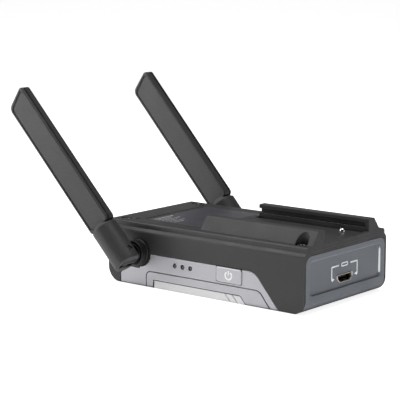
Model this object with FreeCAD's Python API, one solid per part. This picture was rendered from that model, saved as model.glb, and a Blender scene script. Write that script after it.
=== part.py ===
import FreeCAD, Part
import math
import os

V = FreeCAD.Vector

# Wireless receiver: a flat housing with two folding antennas and a slide-in rail channel on its back.
# Origin: centre of the flat bottom.  +X: port end.  -Y: side with the lights and the button.  +Z: up.
# "In" sizes are measured from an end or a side face of the housing, "out" sizes from its side face outward.

# ---------------------------------------------------------------- driving dimensions, mm
BODY_L = 109.0            # housing length along X
BODY_W = 62.0             # housing width along Y
BODY_H = 28.5             # bottom to the back plane
WALL = 2.2                # side wall and floor
END_WALL = 3.0            # wall at the port end
COVER_T = 2.5             # cover plate
FOOT_R_LEFT = 7.0         # bottom rounding at the antenna end
FOOT_R_RIGHT = 6.0        # bottom rounding at the port end
EDGE_R = 0.8              # rounding of the bottom's long edges
ROOT = 0.5                # posts reach this far into the walls they stand on

FIT = 0.06                # running fit, radial
SLIP = 0.1                # loose fit between fixed neighbours
THREAD_FIT = 0.02         # nut on its thread
SEAM = 0.2                # dark seam round the trims and the end panel
LAP = 0.1                 # fused lengths of one piece overlap by this much
ROUND_SLACK = 0.05        # a rounding stays this much smaller than its edge

SHOULDER_FLAT = 3.1       # from the side face in to where the back plane ends
SHOULDER_R = 1.6          # rounding of the cover's long edges
BEAD_DROP = 4.0           # back plane down to the top of the side face
BEAD_R = 1.6
VALLEY = (0.25, 0.15, 0.1)   # valley over the bead: its width, and its depth under and over the seam

RAIL_L = 59.5             # rails, measured from the port end
RAIL_H = 5.6              # rail height over the back plane
RAIL_GAP = 33.8           # clear width between the lips
RAIL_TOP = 4.1            # width of the flat on top of a rail
RAIL_SPREAD = 4.4         # how far the outer slope runs outward
RAIL_EDGES = (0.7, 0.4)   # roundings of a rail's top, outside and inside
GROOVE_D = 1.7            # undercut depth behind a lip
GROOVE_LOW = 1.8          # undercut, lower face over the back plane
GROOVE_HIGH = 3.8         # undercut, upper face over the back plane
TRENCH_W = 3.5            # shallow trench beside each rail
TRENCH_D = 0.9
RAIL_STOP = 1.8           # solid web that ends the undercut at the port end

SKIRT_H = 1.6             # locating rim under the cover
SKIRT_T = 1.4
BACK_GROOVE_IN = 12.9     # groove across the back, in from the antenna end
BACK_GROOVE_W = 0.7
BACK_GROOVE_D = 0.5
BACK_GROOVE_SIDE = 10.5   # the groove ends this far in from the side faces
LABEL_IN = 15.5           # label: in from the antenna end
LABEL_RAILS = 3.5         # label to the rails
LABEL_SIDE = 10.0         # label: in from the side faces
LABEL_R = 1.0
LABEL_DEPTH = 0.25        # depth of the label's recess
LABEL_T = 0.23

TRIM_T = 1.2              # side trim thickness
TRIM_H = 15.2             # side trim height
TRIM_IN = 7.3             # left end, in from the antenna end
TRIM_BEVEL = 0.3          # bevel round the trim's face
TRIM_EASE = 0.6           # gap between the trim and the antenna collar
NOTCH_DROP = 7.3          # connector axis down to the notch that goes round the collar
NOTCH_RUN = (3.6, 3.7)    # the notch's slope, along and down
TRIM_SLOPE = (25.6, 11.7) # right end slopes from the first to the second, in from the port end
TRIM_SLOPE_R = 6.5

BAND_H = 7.4              # groove that outlines the lower band of a trim
BAND_START = 4.1          # from the connector axis
BAND_SLOPE = (23.1, 15.5) # its right end, in from the port end
BAND_R = (2.8, 4.0)
BAND_GROOVE = (0.56, 0.45)   # width and depth

STRIP_H = 3.7             # name strip height
STRIP_START = 8.2         # from the connector axis
STRIP_IN = 33.3           # its right end's top, in from the port end
STRIP_LEAN = 0.87         # the right end runs outward this much for each mm down
STRIP_LOW = 0.2           # bottom edge over the floor
STRIP_SUNK = 0.3          # face of the strip under the face of the trim
STRIP_BED = 0.75          # depth of the strip's recess
STRIP_R = (0.7, 0.5)
SLIT_PLACES = (9.6, 5.8)  # two slanted slits, from the right end's top
SLIT_W = 0.9
SLIT_D = 0.25

PANEL_T = 2.0             # port end panel
PANEL_SIDE = 1.3          # panel edge, in from the side faces
PANEL_DROP = 1.5          # panel top under the cover's seam
PANEL_R = 3.8
PANEL_WRAP = 3.0          # how far the panel goes on along the bottom past the rounding
RECESS_SIDE = 3.8         # recess in the panel: in from the side faces
RECESS_LOW = 1.2          # over the bottom rounding
RECESS_TOP = 2.2          # under the panel's top
RECESS_D = 1.0
RECESS_R = 2.0
RECESS_TAPER = (1.6, 0.3, 0.6)   # slope of its sides, its lower and its upper wall

PORT_Y = 0.0              # port centre
PORT_Z = 11.1
PORT_W = 11.2             # shell, outside, at its wide side
PORT_H = 3.3
PORT_SLANT = 1.7          # width that each slanted lower side takes
PORT_KNEE = 0.1           # the slant starts this far under the centre
PORT_R = 0.3
PORT_T = 0.35             # shell sheet
PORT_D = 7.6              # shell depth
PORT_SUNK = 1.15          # mouth under the end of the housing
PORT_ROOM = (0.15, 0.4)   # gap round the shell in the panel and in the wall
TONGUE_SUNK = 1.4         # the port's inner tongue ends this far behind its mouth
TONGUE_BLOCK = 1.5        # block that fills the shell's back
TONGUE_Z = (0.05, 0.75)   # its faces over the port's centre

LED_D = 2.5               # light holes
LED_PITCH = 4.4
LED_SHIFT = 0.25          # middle light, from midway between collar and button
LED_Z = 11.8
LED_COUNT = 3
GUIDE_R = 0.9             # finger of the light guide
GUIDE_SUNK = 0.35         # finger tip under the side face
GUIDE_H = 3.0
GUIDE_BACK = 0.3          # bar to the emitters
GUIDE_EDGE = 0.3
EMITTER = (1.6, 0.7, 0.8) # light emitter along X, Y and Z

BUTTON_W = 14.2           # opening for the power button
BUTTON_H = 7.0
BUTTON_IN = 39.3          # opening centre, in from the port end
BUTTON_TRAVEL = 0.35
BUTTON_PROUD = 0.45
BUTTON_GAP = 0.2          # between cap and opening
BUTTON_ROOM = 0.05        # pressed cap to the pocket's floor
BUTTON_BEVEL = 0.35
BUTTON_R = (1.0, 0.7)     # lower and upper corners
STEM_R = 1.5
STEM_COLLAR = 1.1         # how far the retaining collar stands out round the stem
STEM_REACH = 0.8          # stem end, in from the inner wall
PLUNGER_R = 0.8
PLUNGER_SUNK = 0.8        # how far the plunger stands in the switch
SWITCH = (6.0, 1.7, 6.0)  # switch body along X, Y and Z
SWITCH_ROOM = 0.15        # pressed plunger to the end of its bore
SIDE_BOARD_IN = 3.6       # side board, in from the inner wall
SIDE_BOARD_T = 1.0
SIDE_BOARD_TOP = 18.5
SIDE_BOARD_ENDS = (1.4, 4.8)   # past the first light and past the button's centre

SCREW_R = 1.2
SCREW_L = 12.0
HEAD_R = 2.3
HEAD_T = 1.3
HEAD_EDGE = 0.4
HEAD_SUNK = 1.5           # seat of the screw heads under the back plane
CROSS = (2.6, 0.6, 0.7)   # cross recess: length, width and depth
POST_R = 3.9              # posts that the cover screws bite into
FRONT_SCREW_IN = 5.8      # cover screws: in from the port end
FRONT_SCREW_SIDE = 6.4    # in from the side faces
BACK_SCREW_IN = 5.9       # cover screws: in from the antenna end
BACK_SCREW_SIDE = 6.0
WELL_R = 3.1              # wells through the rails' slopes at the port end
WELL_GAP = 0.1            # gap round a head at the antenna end
THREAD_ROOM = 0.05        # screw in its post
SHANK_ROOM = 0.15         # screw in the cover

BOARD_T = 1.6
BOARD_R = 1.0
BOARD_IN = (9.5, 4.0)     # board ends, in from the antenna end and from the port end
BOARD_GAP = (3.7, 2.3)    # board to the side board and to the far wall
BOARD_DROP = 0.05         # board's face under the port
POST_CLEAR = 0.7          # board to the cover screws' posts
STANDOFF_R = 2.6
STANDOFF_IN = 11.5        # standoffs: in from the ends
STANDOFF_EDGE = 3.0       # in from the board's long edges
PILOT_R = 0.85
BOARD_SCREW = (0.8, 4.0)  # radius, and length under the board
BOARD_HEAD = (1.7, 1.0)   # radius and height
BOARD_HOLE_R = 1.2

SINK_IN = (44.5, 23.5)    # heat sink: in from the port end
SINK_EDGE = (18.5, 8.5)   # in from the board's long edges
SINK_BASE = 2.0
FIN_T = 1.2
FIN_H = 6.0
FIN_COUNT = 7
CHIP_INSET = 3.0          # main processor under the heat sink
CHIP_T = 1.4
CAN_START = 5.9           # radio can: from the connector axis
CAN_SINK = 8.0            # can to the heat sink
CAN_EDGE = (12.5, 9.5)    # in from the board's long edges
CAN_H = 3.2
CAN_T = 0.3
CAN_R = 1.5
RADIO_INSET = 4.0         # radio module inside the can
RADIO_T = 1.6
CELL_IN = (18.5, 9.0)     # battery: in from the ends and from the side faces
CELL_GAP = 0.5            # battery to the board
CELL_R = 1.5
PAD_IN = (24.5, 15.0)     # foam: in from the ends and from the side faces
PAD_T = 0.3

LOCK_IN = 8.9             # lock pin, in from the port end
LOCK_Y = 9.9
LOCK_R = 1.5
LOCK_PROUD = 1.6
LOCK_TRAVEL = 1.5
LOCK_DOME = 1.25
LOCK_BOSS_R = 3.6
LOCK_FLANGE_R = 2.3
LOCK_FLANGE_T = 0.9
LOCK_STEP_DROP = 1.0      # the flange stops this far under the seam
LOCK_ROOM = 0.02          # flange to its stop
LOCK_ROOT = 0.3           # pin's length inside its flange
SPRING_ROOM = 3.0         # length of the spring's bore, in travels
SPRING_WIRE = 0.22        # radius of the wire
SPRING_R = 1.6
SPRING_TURNS = 4
RETAINER_T = 0.8

AERIAL_IN = 18.6          # connector axis, in from the antenna end
AERIAL_Z = 15.5
JACK_R = 3.12             # threaded barrel of the jack
JACK_ROOM = 0.12          # jack in the wall and in the collar
JACK_TIP = 2.55           # out
JACK_WALL = 0.82          # wall round the jack's socket
SOCKET_FLOOR = 0.6        # out
JACK_PAST_NUT = 0.4       # jack past its nut, inside
JACK_NUT_T = 2.0
JACK_NUT_WALL = 1.48      # from the thread to the corners of the hexagon
TAIL_R = 1.6              # crimp tail
TAIL_L = 3.0
TAIL_FLOOR = 0.8          # bottom of its bore, behind the thread
COLLAR_R = 5.9
COLLAR_OUT = 1.2
COLLAR_EDGE = 0.4
NUT_R = 5.6
NUT_OUT = (1.4, 4.3)      # coupling nut, out
NUT_EDGE = 0.25
NUT_CLEAR = 0.5           # nut to the antenna's barrel
NUT_RINGS = (2.15, 3.1)   # grooves round the nut, out
NUT_RING = (0.3, 0.35)    # their width and depth
WEB = (3.0, 3.4)          # web inside the nut, out
WEB_LAP = 0.62            # the web's hole is this much smaller than the thread
CUP_ROOM = 0.45           # elbow in the nut's cup
PLUG_START = 0.8          # plug ferrule, out
PLUG_FLANGE = 0.17        # plug flange inside the thread
PLUG_ROOM = (0.08, 0.06)  # flange to the jack's end and to the web
PIN_R = 1.2               # plug tail in the elbow
PIN_OUT = 5.5
PIN_ROOM = 0.05
LEAD_R = 0.65             # coax lead
LEAD_DEPTH = 0.6          # how far the lead stands in the crimp tail
LEAD_RUN = 6.5            # straight run inward
LEAD_TURN = 3.6           # bend down to the board
LEAD_SOCKET_R = 1.3

TILT = {"near": 44.0, "far": 42.5}   # degrees from upright, towards -X
TONGUE_T = 5.0            # elbow tongue between the fork's ears
TONGUE_R = 4.3
ELBOW_GAP = 0.1           # elbow to the nut's web
SWING_ROOM = 0.3          # ears in the elbow's cheeks
FORK_ROOM = 0.25          # tongue in the fork, radial
FOLD_PIN_R = 1.0
FOLD_PIN_SUNK = 0.7       # pin ends under the barrel's surface
PIN_WELL = 0.35           # gap round the pin's ends
BARREL_R = 6.2
BARREL_END = 4.5          # barrel past the pin
BARREL_EDGE = 0.8
BARREL_TOP = 15.2         # pin to the end of the round barrel
NECK = (3.4, 2.6)         # cone into the paddle: end radius and length
PADDLE_LAP = 1.0          # the paddle starts this far past the round barrel
PADDLE_END = 93.4         # pin to the paddle's tip
PADDLE_W = 13.3
PADDLE_T = 5.3
PADDLE_EDGE = 0.7
PADDLE_ROUND = (2.2, 1.6, 3.4)   # corners at the neck, the high tip and the low tip
TIP_SLANT = 3.0           # how much the tip falls across the paddle
FACE_RIM = 1.1            # rim round the sunk faces
FACE_SUNK = 0.3
FACE_NECK = 1.6           # sunk face's start past the paddle's start
FACE_TIP = 1.3            # sunk face's end under the tip
FACE_ROUND = (1.6, 1.0, 2.4)
SPLIT_V = -1.45           # plane where the two halves of the paddle meet
SPLIT_GROOVE = (0.7, 0.5) # groove beside it: width and depth
HOLLOW_W = 9.8            # hollow for the antenna strip
HOLLOW_ENDS = (4.0, 5.0, 6.5)   # from the paddle's start, the high tip and the low tip
HOLLOW_TOP = 0.3
HOLLOW_R = 0.8
FILM_W = 9.2              # antenna strip
FILM_V = (-0.9, -0.1)
FILM_ENDS = (4.5, 8.0)    # from the paddle's start and its tip

BEYOND = 250.0            # cutting tools run past every part by this much

# ---------------------------------------------------------------- derived places
HALF_L = BODY_L / 2
HALF_W = BODY_W / 2
SEAM_Z = BODY_H - COVER_T
IN_W = HALF_W - WALL
IN_LEFT = -HALF_L + WALL
IN_RIGHT = HALF_L - END_WALL
RAIL_X0 = HALF_L - RAIL_L
RAIL_Y = RAIL_GAP / 2
LABEL = (-HALF_L + LABEL_IN, RAIL_X0 - LABEL_RAILS, -HALF_W + LABEL_SIDE, HALF_W - LABEL_SIDE)
AERIAL_X = -HALF_L + AERIAL_IN
STRIP_X = (AERIAL_X + STRIP_START, HALF_L - STRIP_IN)
BUTTON_X = HALF_L - BUTTON_IN
BUTTON_LOW = TRIM_H - BUTTON_H
BUTTON_Z = TRIM_H - BUTTON_H / 2
CAP_IN = HALF_W - TRIM_T + BUTTON_TRAVEL + BUTTON_ROOM
STEM_END = IN_W - STEM_REACH
LED_X = (AERIAL_X + COLLAR_R + BUTTON_X - BUTTON_W / 2) / 2 + LED_SHIFT
LIGHTS = [LED_X + (i - (LED_COUNT - 1) / 2) * LED_PITCH for i in range(LED_COUNT)]
SIDE_BOARD_Y = -IN_W + SIDE_BOARD_IN
PANEL_TOP = SEAM_Z - PANEL_DROP
PORT_X = (HALF_L - PORT_SUNK - PORT_D, HALF_L - PORT_SUNK)
BOARD_TOP = PORT_Z - PORT_H / 2 - BOARD_DROP
BOARD_LOW = BOARD_TOP - BOARD_T
BOARD = (-HALF_L + BOARD_IN[0], HALF_L - BOARD_IN[1], SIDE_BOARD_Y + BOARD_GAP[0], IN_W - BOARD_GAP[1])
SINK = (HALF_L - SINK_IN[0], HALF_L - SINK_IN[1], BOARD[2] + SINK_EDGE[0], BOARD[3] - SINK_EDGE[1])
CAN = (AERIAL_X + CAN_START, SINK[0] - CAN_SINK, BOARD[2] + CAN_EDGE[0], BOARD[3] - CAN_EDGE[1])
HEAD_Z = BODY_H - HEAD_SUNK
FRONT_SCREWS = [(HALF_L - FRONT_SCREW_IN, sign * (HALF_W - FRONT_SCREW_SIDE)) for sign in (-1, 1)]
BACK_SCREWS = [(-HALF_L + BACK_SCREW_IN, sign * (HALF_W - BACK_SCREW_SIDE)) for sign in (-1, 1)]
COVER_SCREWS = FRONT_SCREWS + BACK_SCREWS
STANDOFFS = [(sign * (HALF_L - STANDOFF_IN), y) for sign in (-1, 1)
             for y in (BOARD[2] + STANDOFF_EDGE, BOARD[3] - STANDOFF_EDGE)]
LOCK_X = HALF_L - LOCK_IN
LOCK_STEP = SEAM_Z - LOCK_STEP_DROP
LOCK_LOW = LOCK_STEP - LOCK_FLANGE_T - SPRING_ROOM * LOCK_TRAVEL - RETAINER_T
JACK_IN = -(WALL + JACK_NUT_T + JACK_PAST_NUT)
WEB_HOLE_R = JACK_R - WEB_LAP
PIVOT_OUT = NUT_OUT[1] + NUT_CLEAR + BARREL_R
PADDLE_START = BARREL_TOP + PADDLE_LAP
FOLD_PIN_END = BARREL_R - FOLD_PIN_SUNK


# ---------------------------------------------------------------- shapes
def corner_arc(before, corner, after, radius):
    """Tangent arc that rounds one corner: its start, middle and end points."""
    a = (before - corner).normalize()
    b = (after - corner).normalize()
    half = a.getAngle(b) / 2
    trim = radius / math.tan(half)
    middle = (a + b).normalize() * (radius / math.sin(half) - radius)
    return corner + a * trim, corner + middle, corner + b * trim


def outline(corners, place):
    """Closed face from (u, v, radius) corners; place turns (u, v) into a point."""
    points = [place(u, v) for u, v, _ in corners]
    count = len(points)
    starts, ends, edges = [], [], []
    for i, (_, _, radius) in enumerate(corners):
        if radius > 0:
            start, middle, end = corner_arc(points[i - 1], points[i], points[(i + 1) % count], radius)
            edges.append(Part.Arc(start, middle, end).toShape())
        else:
            start = end = points[i]
        starts.append(start)
        ends.append(end)
    for i in range(count):
        after = starts[(i + 1) % count]
        if (after - ends[i]).Length > 1e-6:
            edges.append(Part.makeLine(ends[i], after))
    return Part.Face(Part.Wire(Part.__sortEdges__(edges)))


def prism_y(corners, y0, y1):
    """Solid with an (x, z) outline between two y planes."""
    return outline(corners, lambda u, v: V(u, y0, v)).extrude(V(0, y1 - y0, 0))


def prism_x(corners, x0, x1):
    """Solid with a (y, z) outline between two x planes."""
    return outline(corners, lambda u, v: V(x0, u, v)).extrude(V(x1 - x0, 0, 0))


def prism_z(corners, z0, z1):
    """Solid with an (x, y) outline between two z planes."""
    return outline(corners, lambda u, v: V(u, v, z0)).extrude(V(0, 0, z1 - z0))


def box(x0, x1, y0, y1, z0, z1):
    """Box between two corners."""
    return Part.makeBox(x1 - x0, y1 - y0, z1 - z0, V(x0, y0, z0))


def rod(radius, start, end):
    """Cylinder from one point to another."""
    axis = end - start
    return Part.makeCylinder(radius, axis.Length, start, axis)


def upright(radius, place, z0, z1):
    """Cylinder along Z on an (x, y) place."""
    return rod(radius, V(place[0], place[1], z0), V(place[0], place[1], z1))


def crosswise(radius, x, z, y0, y1):
    """Cylinder along Y."""
    return rod(radius, V(x, y0, z), V(x, y1, z))


def rect(u0, u1, v0, v1, radius=0):
    """Rectangle corners with one corner radius."""
    return [(u0, v0, radius), (u1, v0, radius), (u1, v1, radius), (u0, v1, radius)]


def inset(area, distance):
    """The (x0, x1, y0, y1) area moved inward on all sides."""
    return area[0] + distance, area[1] - distance, area[2] + distance, area[3] - distance


def mirrored(shape):
    """The same piece on the other long side."""
    return shape.mirror(V(0, 0, 0), V(0, 1, 0))


def both_sides(shape):
    """A feature and its mirror image, as one tool."""
    return shape.fuse(mirrored(shape))


# ---------------------------------------------------------------- housing
def side_profile(shrink=0.0, top=BODY_H):
    """(x, z) outline of the housing, moved inward by shrink at the sides and the bottom."""
    return [(-HALF_L + shrink, shrink, FOOT_R_LEFT - shrink),
            (HALF_L - shrink, shrink, FOOT_R_RIGHT - shrink),
            (HALF_L - shrink, top, 0), (-HALF_L + shrink, top, 0)]


def cavity_profile(grow, top):
    """(x, z) outline of the space inside the walls, grown into them."""
    return [(IN_LEFT - grow, WALL - grow, FOOT_R_LEFT - WALL + grow),
            (IN_RIGHT + grow, WALL - grow, FOOT_R_RIGHT - END_WALL + grow),
            (IN_RIGHT + grow, top, 0), (IN_LEFT - grow, top, 0)]


def cross_profile():
    """(y, z) outline of the housing with the shoulder along each long edge."""
    lip = HALF_W - SHOULDER_FLAT + SHOULDER_R
    width, under, over = VALLEY
    half = [(HALF_W, 0, EDGE_R), (HALF_W, BODY_H - BEAD_DROP, BEAD_R), (lip + width, SEAM_Z - under, 0),
            (lip, SEAM_Z + over, 0), (lip, BODY_H, SHOULDER_R - ROUND_SLACK)]
    other = [(-y, z, r) for y, z, r in reversed(half)]
    return half + other


def housing_block(z0=0.0, z1=BODY_H):
    """Outer form of the housing between two heights, without the rails."""
    block = prism_y(side_profile(), -HALF_W, HALF_W)
    block = block.common(prism_x(cross_profile(), -HALF_L, HALF_L))
    return block.common(box(-HALF_L, HALF_L, -HALF_W, HALF_W, z0, z1))


def trim_corners():
    """(x, z) outline of a side trim; its left notch leaves room for the antenna collar."""
    left = -HALF_L + TRIM_IN
    notch = AERIAL_Z - NOTCH_DROP
    return [(left, -1, 0), (left, notch - NOTCH_RUN[1], 0), (left + NOTCH_RUN[0], notch, 0),
            (AERIAL_X, notch, 0), (AERIAL_X, TRIM_H, 0),
            (HALF_L - TRIM_SLOPE[0], TRIM_H, TRIM_SLOPE_R), (HALF_L - TRIM_SLOPE[1], -1, 0)]


def trim_blank(grow, outer):
    """Trim outline from an outer plane to the trim's back, open round the antenna collar."""
    back = HALF_W - TRIM_T
    face = outline(trim_corners(), lambda u, v: V(u, -outer, v))
    if grow:
        face = face.makeOffset2D(grow)
    blank = face.extrude(V(0, outer - back, 0))
    return blank.cut(crosswise(COLLAR_R + TRIM_EASE - grow, AERIAL_X, AERIAL_Z, -outer - 1, -back + 1))


def button_outline(gap, raise_top=0.0):
    """(x, z) outline of the power button or its opening; the opening runs out over the trim's top."""
    x0 = BUTTON_X - BUTTON_W / 2 + gap
    x1 = BUTTON_X + BUTTON_W / 2 - gap
    low, top = BUTTON_LOW + gap, TRIM_H - gap + raise_top
    return [(x0, low, BUTTON_R[0]), (x1, low, BUTTON_R[0]), (x1, top, BUTTON_R[1]), (x0, top, BUTTON_R[1])]


def strip_corners(low):
    """(x, z) outline of the name strip down to a given height, with a leaning right end."""
    return [(STRIP_X[0], low, 0), (STRIP_X[0], STRIP_H, STRIP_R[0]), (STRIP_X[1], STRIP_H, STRIP_R[1]),
            (STRIP_X[1] + STRIP_LEAN * (STRIP_H - low), low, 0)]


def trim_common():
    """Side trim with a bevelled face, its outline groove and the name strip's recess."""
    trim = trim_blank(0, HALF_W)
    face_edges = [e for e in trim.Edges if e.BoundBox.YMax < -HALF_W + 0.01 and e.BoundBox.ZMax > 0]
    trim = trim.makeChamfer(TRIM_BEVEL, face_edges).common(housing_block())
    width, depth = BAND_GROOVE
    band = outline([(AERIAL_X + BAND_START, -2, 0), (AERIAL_X + BAND_START, BAND_H, BAND_R[0]),
                    (HALF_L - BAND_SLOPE[0], BAND_H, BAND_R[1]), (HALF_L - BAND_SLOPE[1], -2, 0)],
                   lambda u, v: V(u, -HALF_W - 1, v))
    inward = V(0, 1 + depth, 0)
    ring = band.makeOffset2D(width / 2).extrude(inward).cut(band.makeOffset2D(-width / 2).extrude(inward))
    recess = outline(strip_corners(-1), lambda u, v: V(u, -HALF_W - 1, v)).makeOffset2D(SLIP)
    return trim.cut(ring).cut(recess.extrude(V(0, 1 + STRIP_BED, 0)))


def end_panel_blank(grow):
    """Layer of the port end that wraps under the bottom, as wide as the end panel."""
    x0 = HALF_L - FOOT_R_RIGHT - PANEL_WRAP - grow
    outer = prism_y(side_profile(), -HALF_W, HALF_W)
    inner = prism_y(side_profile(PANEL_T), -HALF_W - 1, HALF_W + 1)
    side = HALF_W - PANEL_SIDE + grow
    top = PANEL_TOP + grow
    corner_r = PANEL_R + grow
    cookie = prism_x([(-side, -1, 0), (side, -1, 0), (side, top, corner_r), (-side, top, corner_r)],
                     x0, HALF_L + 1)
    return outer.cut(inner).common(cookie).common(prism_x(cross_profile(), -HALF_L, HALF_L))


def port_corners(grow):
    """(y, z) outline of the port: wide at the top, with slanted lower sides."""
    top = PORT_Z + PORT_H / 2 + grow
    low = PORT_Z - PORT_H / 2 - grow
    half = PORT_W / 2 + grow
    right = [(half - PORT_SLANT, low), (half, PORT_Z - PORT_KNEE), (half, top)]
    return [(PORT_Y - y, z, PORT_R) for y, z in right[:1]] + [(PORT_Y + y, z, PORT_R) for y, z in right] + \
        [(PORT_Y - y, z, PORT_R) for y, z in right[:0:-1]]


def main_shell():
    """Tub with floor and side walls, pockets for the trims and the end panel, posts and standoffs."""
    shell = housing_block(z1=SEAM_Z)
    shell = shell.cut(prism_y(cavity_profile(0, BODY_H), -IN_W, IN_W))
    posts = [upright(POST_R, place, WALL - 1, SEAM_Z) for place in COVER_SCREWS]
    posts += [upright(STANDOFF_R, place, WALL - 1, BOARD_LOW) for place in STANDOFFS]
    inside = prism_y(cavity_profile(ROOT, SEAM_Z), -IN_W - ROOT, IN_W + ROOT)
    for post in posts:
        shell = shell.fuse(post.common(inside))
    for place in COVER_SCREWS:
        shell = shell.cut(upright(SCREW_R + THREAD_ROOM, place, HEAD_Z - SCREW_L - 1, SEAM_Z + 1))
    for place in STANDOFFS:
        shell = shell.cut(upright(PILOT_R, place, BOARD_LOW - BOARD_SCREW[1] - 1, BOARD_TOP))
    shell = shell.cut(both_sides(trim_blank(SEAM, HALF_W + 1))).cut(end_panel_blank(SEAM))
    for radius, y in ((COLLAR_R + SLIP, -HALF_W + TRIM_T), (JACK_R + JACK_ROOM, -IN_W + 1)):
        shell = shell.cut(both_sides(crosswise(radius, AERIAL_X, AERIAL_Z, -HALF_W - 1, y)))
    shell = shell.cut(prism_x(port_corners(PORT_ROOM[1]), IN_RIGHT - 1, HALF_L + 1))
    for x in LIGHTS:
        shell = shell.cut(crosswise(GUIDE_R + SLIP, x, LED_Z, -HALF_W, -IN_W + 1))
    shell = shell.cut(crosswise(STEM_R + FIT, BUTTON_X, BUTTON_Z, -HALF_W, -IN_W + 1))
    return shell.removeSplitter()


def rail():
    """Far rail: sloped outside, lip and undercut inside, solid web at the port end."""
    top = BODY_H + RAIL_H
    foot = BODY_H - COVER_T / 2
    outer = RAIL_Y + RAIL_TOP
    body = prism_x([(RAIL_Y, foot, 0), (outer + RAIL_SPREAD, foot, 0), (outer + RAIL_SPREAD, BODY_H, 0),
                    (outer, top, RAIL_EDGES[0]), (RAIL_Y, top, RAIL_EDGES[1])], RAIL_X0, HALF_L)
    groove = rect(RAIL_Y - 1, RAIL_Y + GROOVE_D, BODY_H + GROOVE_LOW, BODY_H + GROOVE_HIGH)
    return body.cut(prism_x(groove, RAIL_X0 - 1, HALF_L - RAIL_STOP))


def cover_skirt():
    """Locating rim under the cover, open round the screw posts."""
    rim = inset((IN_LEFT, IN_RIGHT, -IN_W, IN_W), SLIP)
    low = SEAM_Z - SKIRT_H
    skirt = box(*rim, low, SEAM_Z).cut(box(*inset(rim, SKIRT_T), low - 1, SEAM_Z + 1))
    for place in COVER_SCREWS:
        skirt = skirt.cut(upright(POST_R + SLIP, place, low - 1, SEAM_Z))
    return skirt


def top_cover():
    """Cover plate with the rails, a locating rim, screw wells and the lock pin's boss."""
    cover = housing_block(z0=SEAM_Z).fuse(mirrored(rail())).fuse(rail())
    cover = cover.cut(both_sides(box(RAIL_X0, HALF_L - RAIL_STOP, RAIL_Y - TRENCH_W, RAIL_Y,
                                     BODY_H - TRENCH_D, BODY_H + 1)))
    cover = cover.fuse(cover_skirt())
    lock = (LOCK_X, LOCK_Y)
    cover = cover.fuse(upright(LOCK_BOSS_R, lock, LOCK_LOW, BODY_H - ROOT))
    cover = cover.cut(upright(LOCK_FLANGE_R + SLIP, lock, LOCK_LOW - 1, LOCK_STEP))
    cover = cover.cut(upright(LOCK_R + FIT, lock, LOCK_LOW, BODY_H + 1))
    for places, well in ((FRONT_SCREWS, WELL_R), (BACK_SCREWS, HEAD_R + WELL_GAP)):
        for place in places:
            cover = cover.cut(upright(well, place, HEAD_Z, BODY_H + RAIL_H + 1))
            cover = cover.cut(upright(SCREW_R + SHANK_ROOM, place, SEAM_Z - SKIRT_H - 1, BODY_H))
    groove_x = -HALF_L + BACK_GROOVE_IN
    groove_y = HALF_W - BACK_GROOVE_SIDE
    cover = cover.cut(box(groove_x, groove_x + BACK_GROOVE_W, -groove_y, groove_y,
                          BODY_H - BACK_GROOVE_D, BODY_H + 1))
    cover = cover.cut(prism_z(rect(*inset(LABEL, -SLIP), LABEL_R), BODY_H - LABEL_DEPTH, BODY_H + 1))
    return cover.removeSplitter()


def cover_screws():
    """Four pan head screws that hold the cover, with a cross recess in each head."""
    length, width, depth = CROSS
    top = HEAD_Z + HEAD_T
    screws = []
    for x, y in COVER_SCREWS:
        head = upright(HEAD_R, (x, y), HEAD_Z, top)
        head = head.makeFillet(HEAD_EDGE, [e for e in head.Edges if e.BoundBox.ZMin > top - 0.01])
        bars = [box(x - u / 2, x + u / 2, y - v / 2, y + v / 2, top - depth, top + 1)
                for u, v in ((length, width), (width, length))]
        shank = upright(SCREW_R, (x, y), HEAD_Z - SCREW_L, HEAD_Z + LAP)
        screws.append(head.fuse(shank).cut(bars[0].fuse(bars[1])))
    return Part.makeCompound(screws)


def front_trim():
    """Near side trim with light holes and the opening for the power button."""
    trim = trim_common()
    back = -HALF_W + TRIM_T + 1
    for x in LIGHTS:
        trim = trim.cut(crosswise(LED_D / 2, x, LED_Z, -HALF_W - 1, back))
    return trim.cut(prism_y(button_outline(0, raise_top=TRIM_H), -HALF_W - 1, back))


def name_strip():
    """Bright strip inlaid in the trim; two slanted slits mark its right end."""
    face = -HALF_W + STRIP_SUNK
    strip = prism_y(strip_corners(STRIP_LOW), face, -HALF_W + STRIP_BED)
    top, low = STRIP_H + 1, -1
    run = STRIP_LEAN * (top - low)
    for place in SLIT_PLACES:
        left = STRIP_X[1] - place
        slit = [(left, top, 0), (left + SLIT_W, top, 0), (left + run + SLIT_W, low, 0), (left + run, low, 0)]
        strip = strip.cut(prism_y(slit, -HALF_W, face + SLIT_D))
    return strip


def end_panel():
    """Port end panel with a shallow tapered recess and the port's opening."""
    side_run, low_run, top_run = RECESS_TAPER
    wires = []
    for part, x in ((0.0, HALF_L), (1.0, HALF_L - RECESS_D)):
        side = HALF_W - RECESS_SIDE - part * side_run
        corners = rect(-side, side, FOOT_R_RIGHT + RECESS_LOW + part * low_run,
                       PANEL_TOP - RECESS_TOP - part * top_run, RECESS_R)
        wires.append(outline(corners, lambda u, v, x=x: V(x, u, v)).OuterWire)
    panel = end_panel_blank(0).cut(Part.makeLoft(wires, True, True))
    return panel.cut(prism_x(port_corners(PORT_ROOM[0]), HALF_L - END_WALL - 1, HALF_L + 1))


def port_shell():
    """Sheet metal shell of the port, open to the outside."""
    shell = prism_x(port_corners(0), *PORT_X)
    return shell.cut(prism_x(port_corners(-PORT_T), PORT_X[0] + PORT_T, PORT_X[1] + 1))


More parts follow.
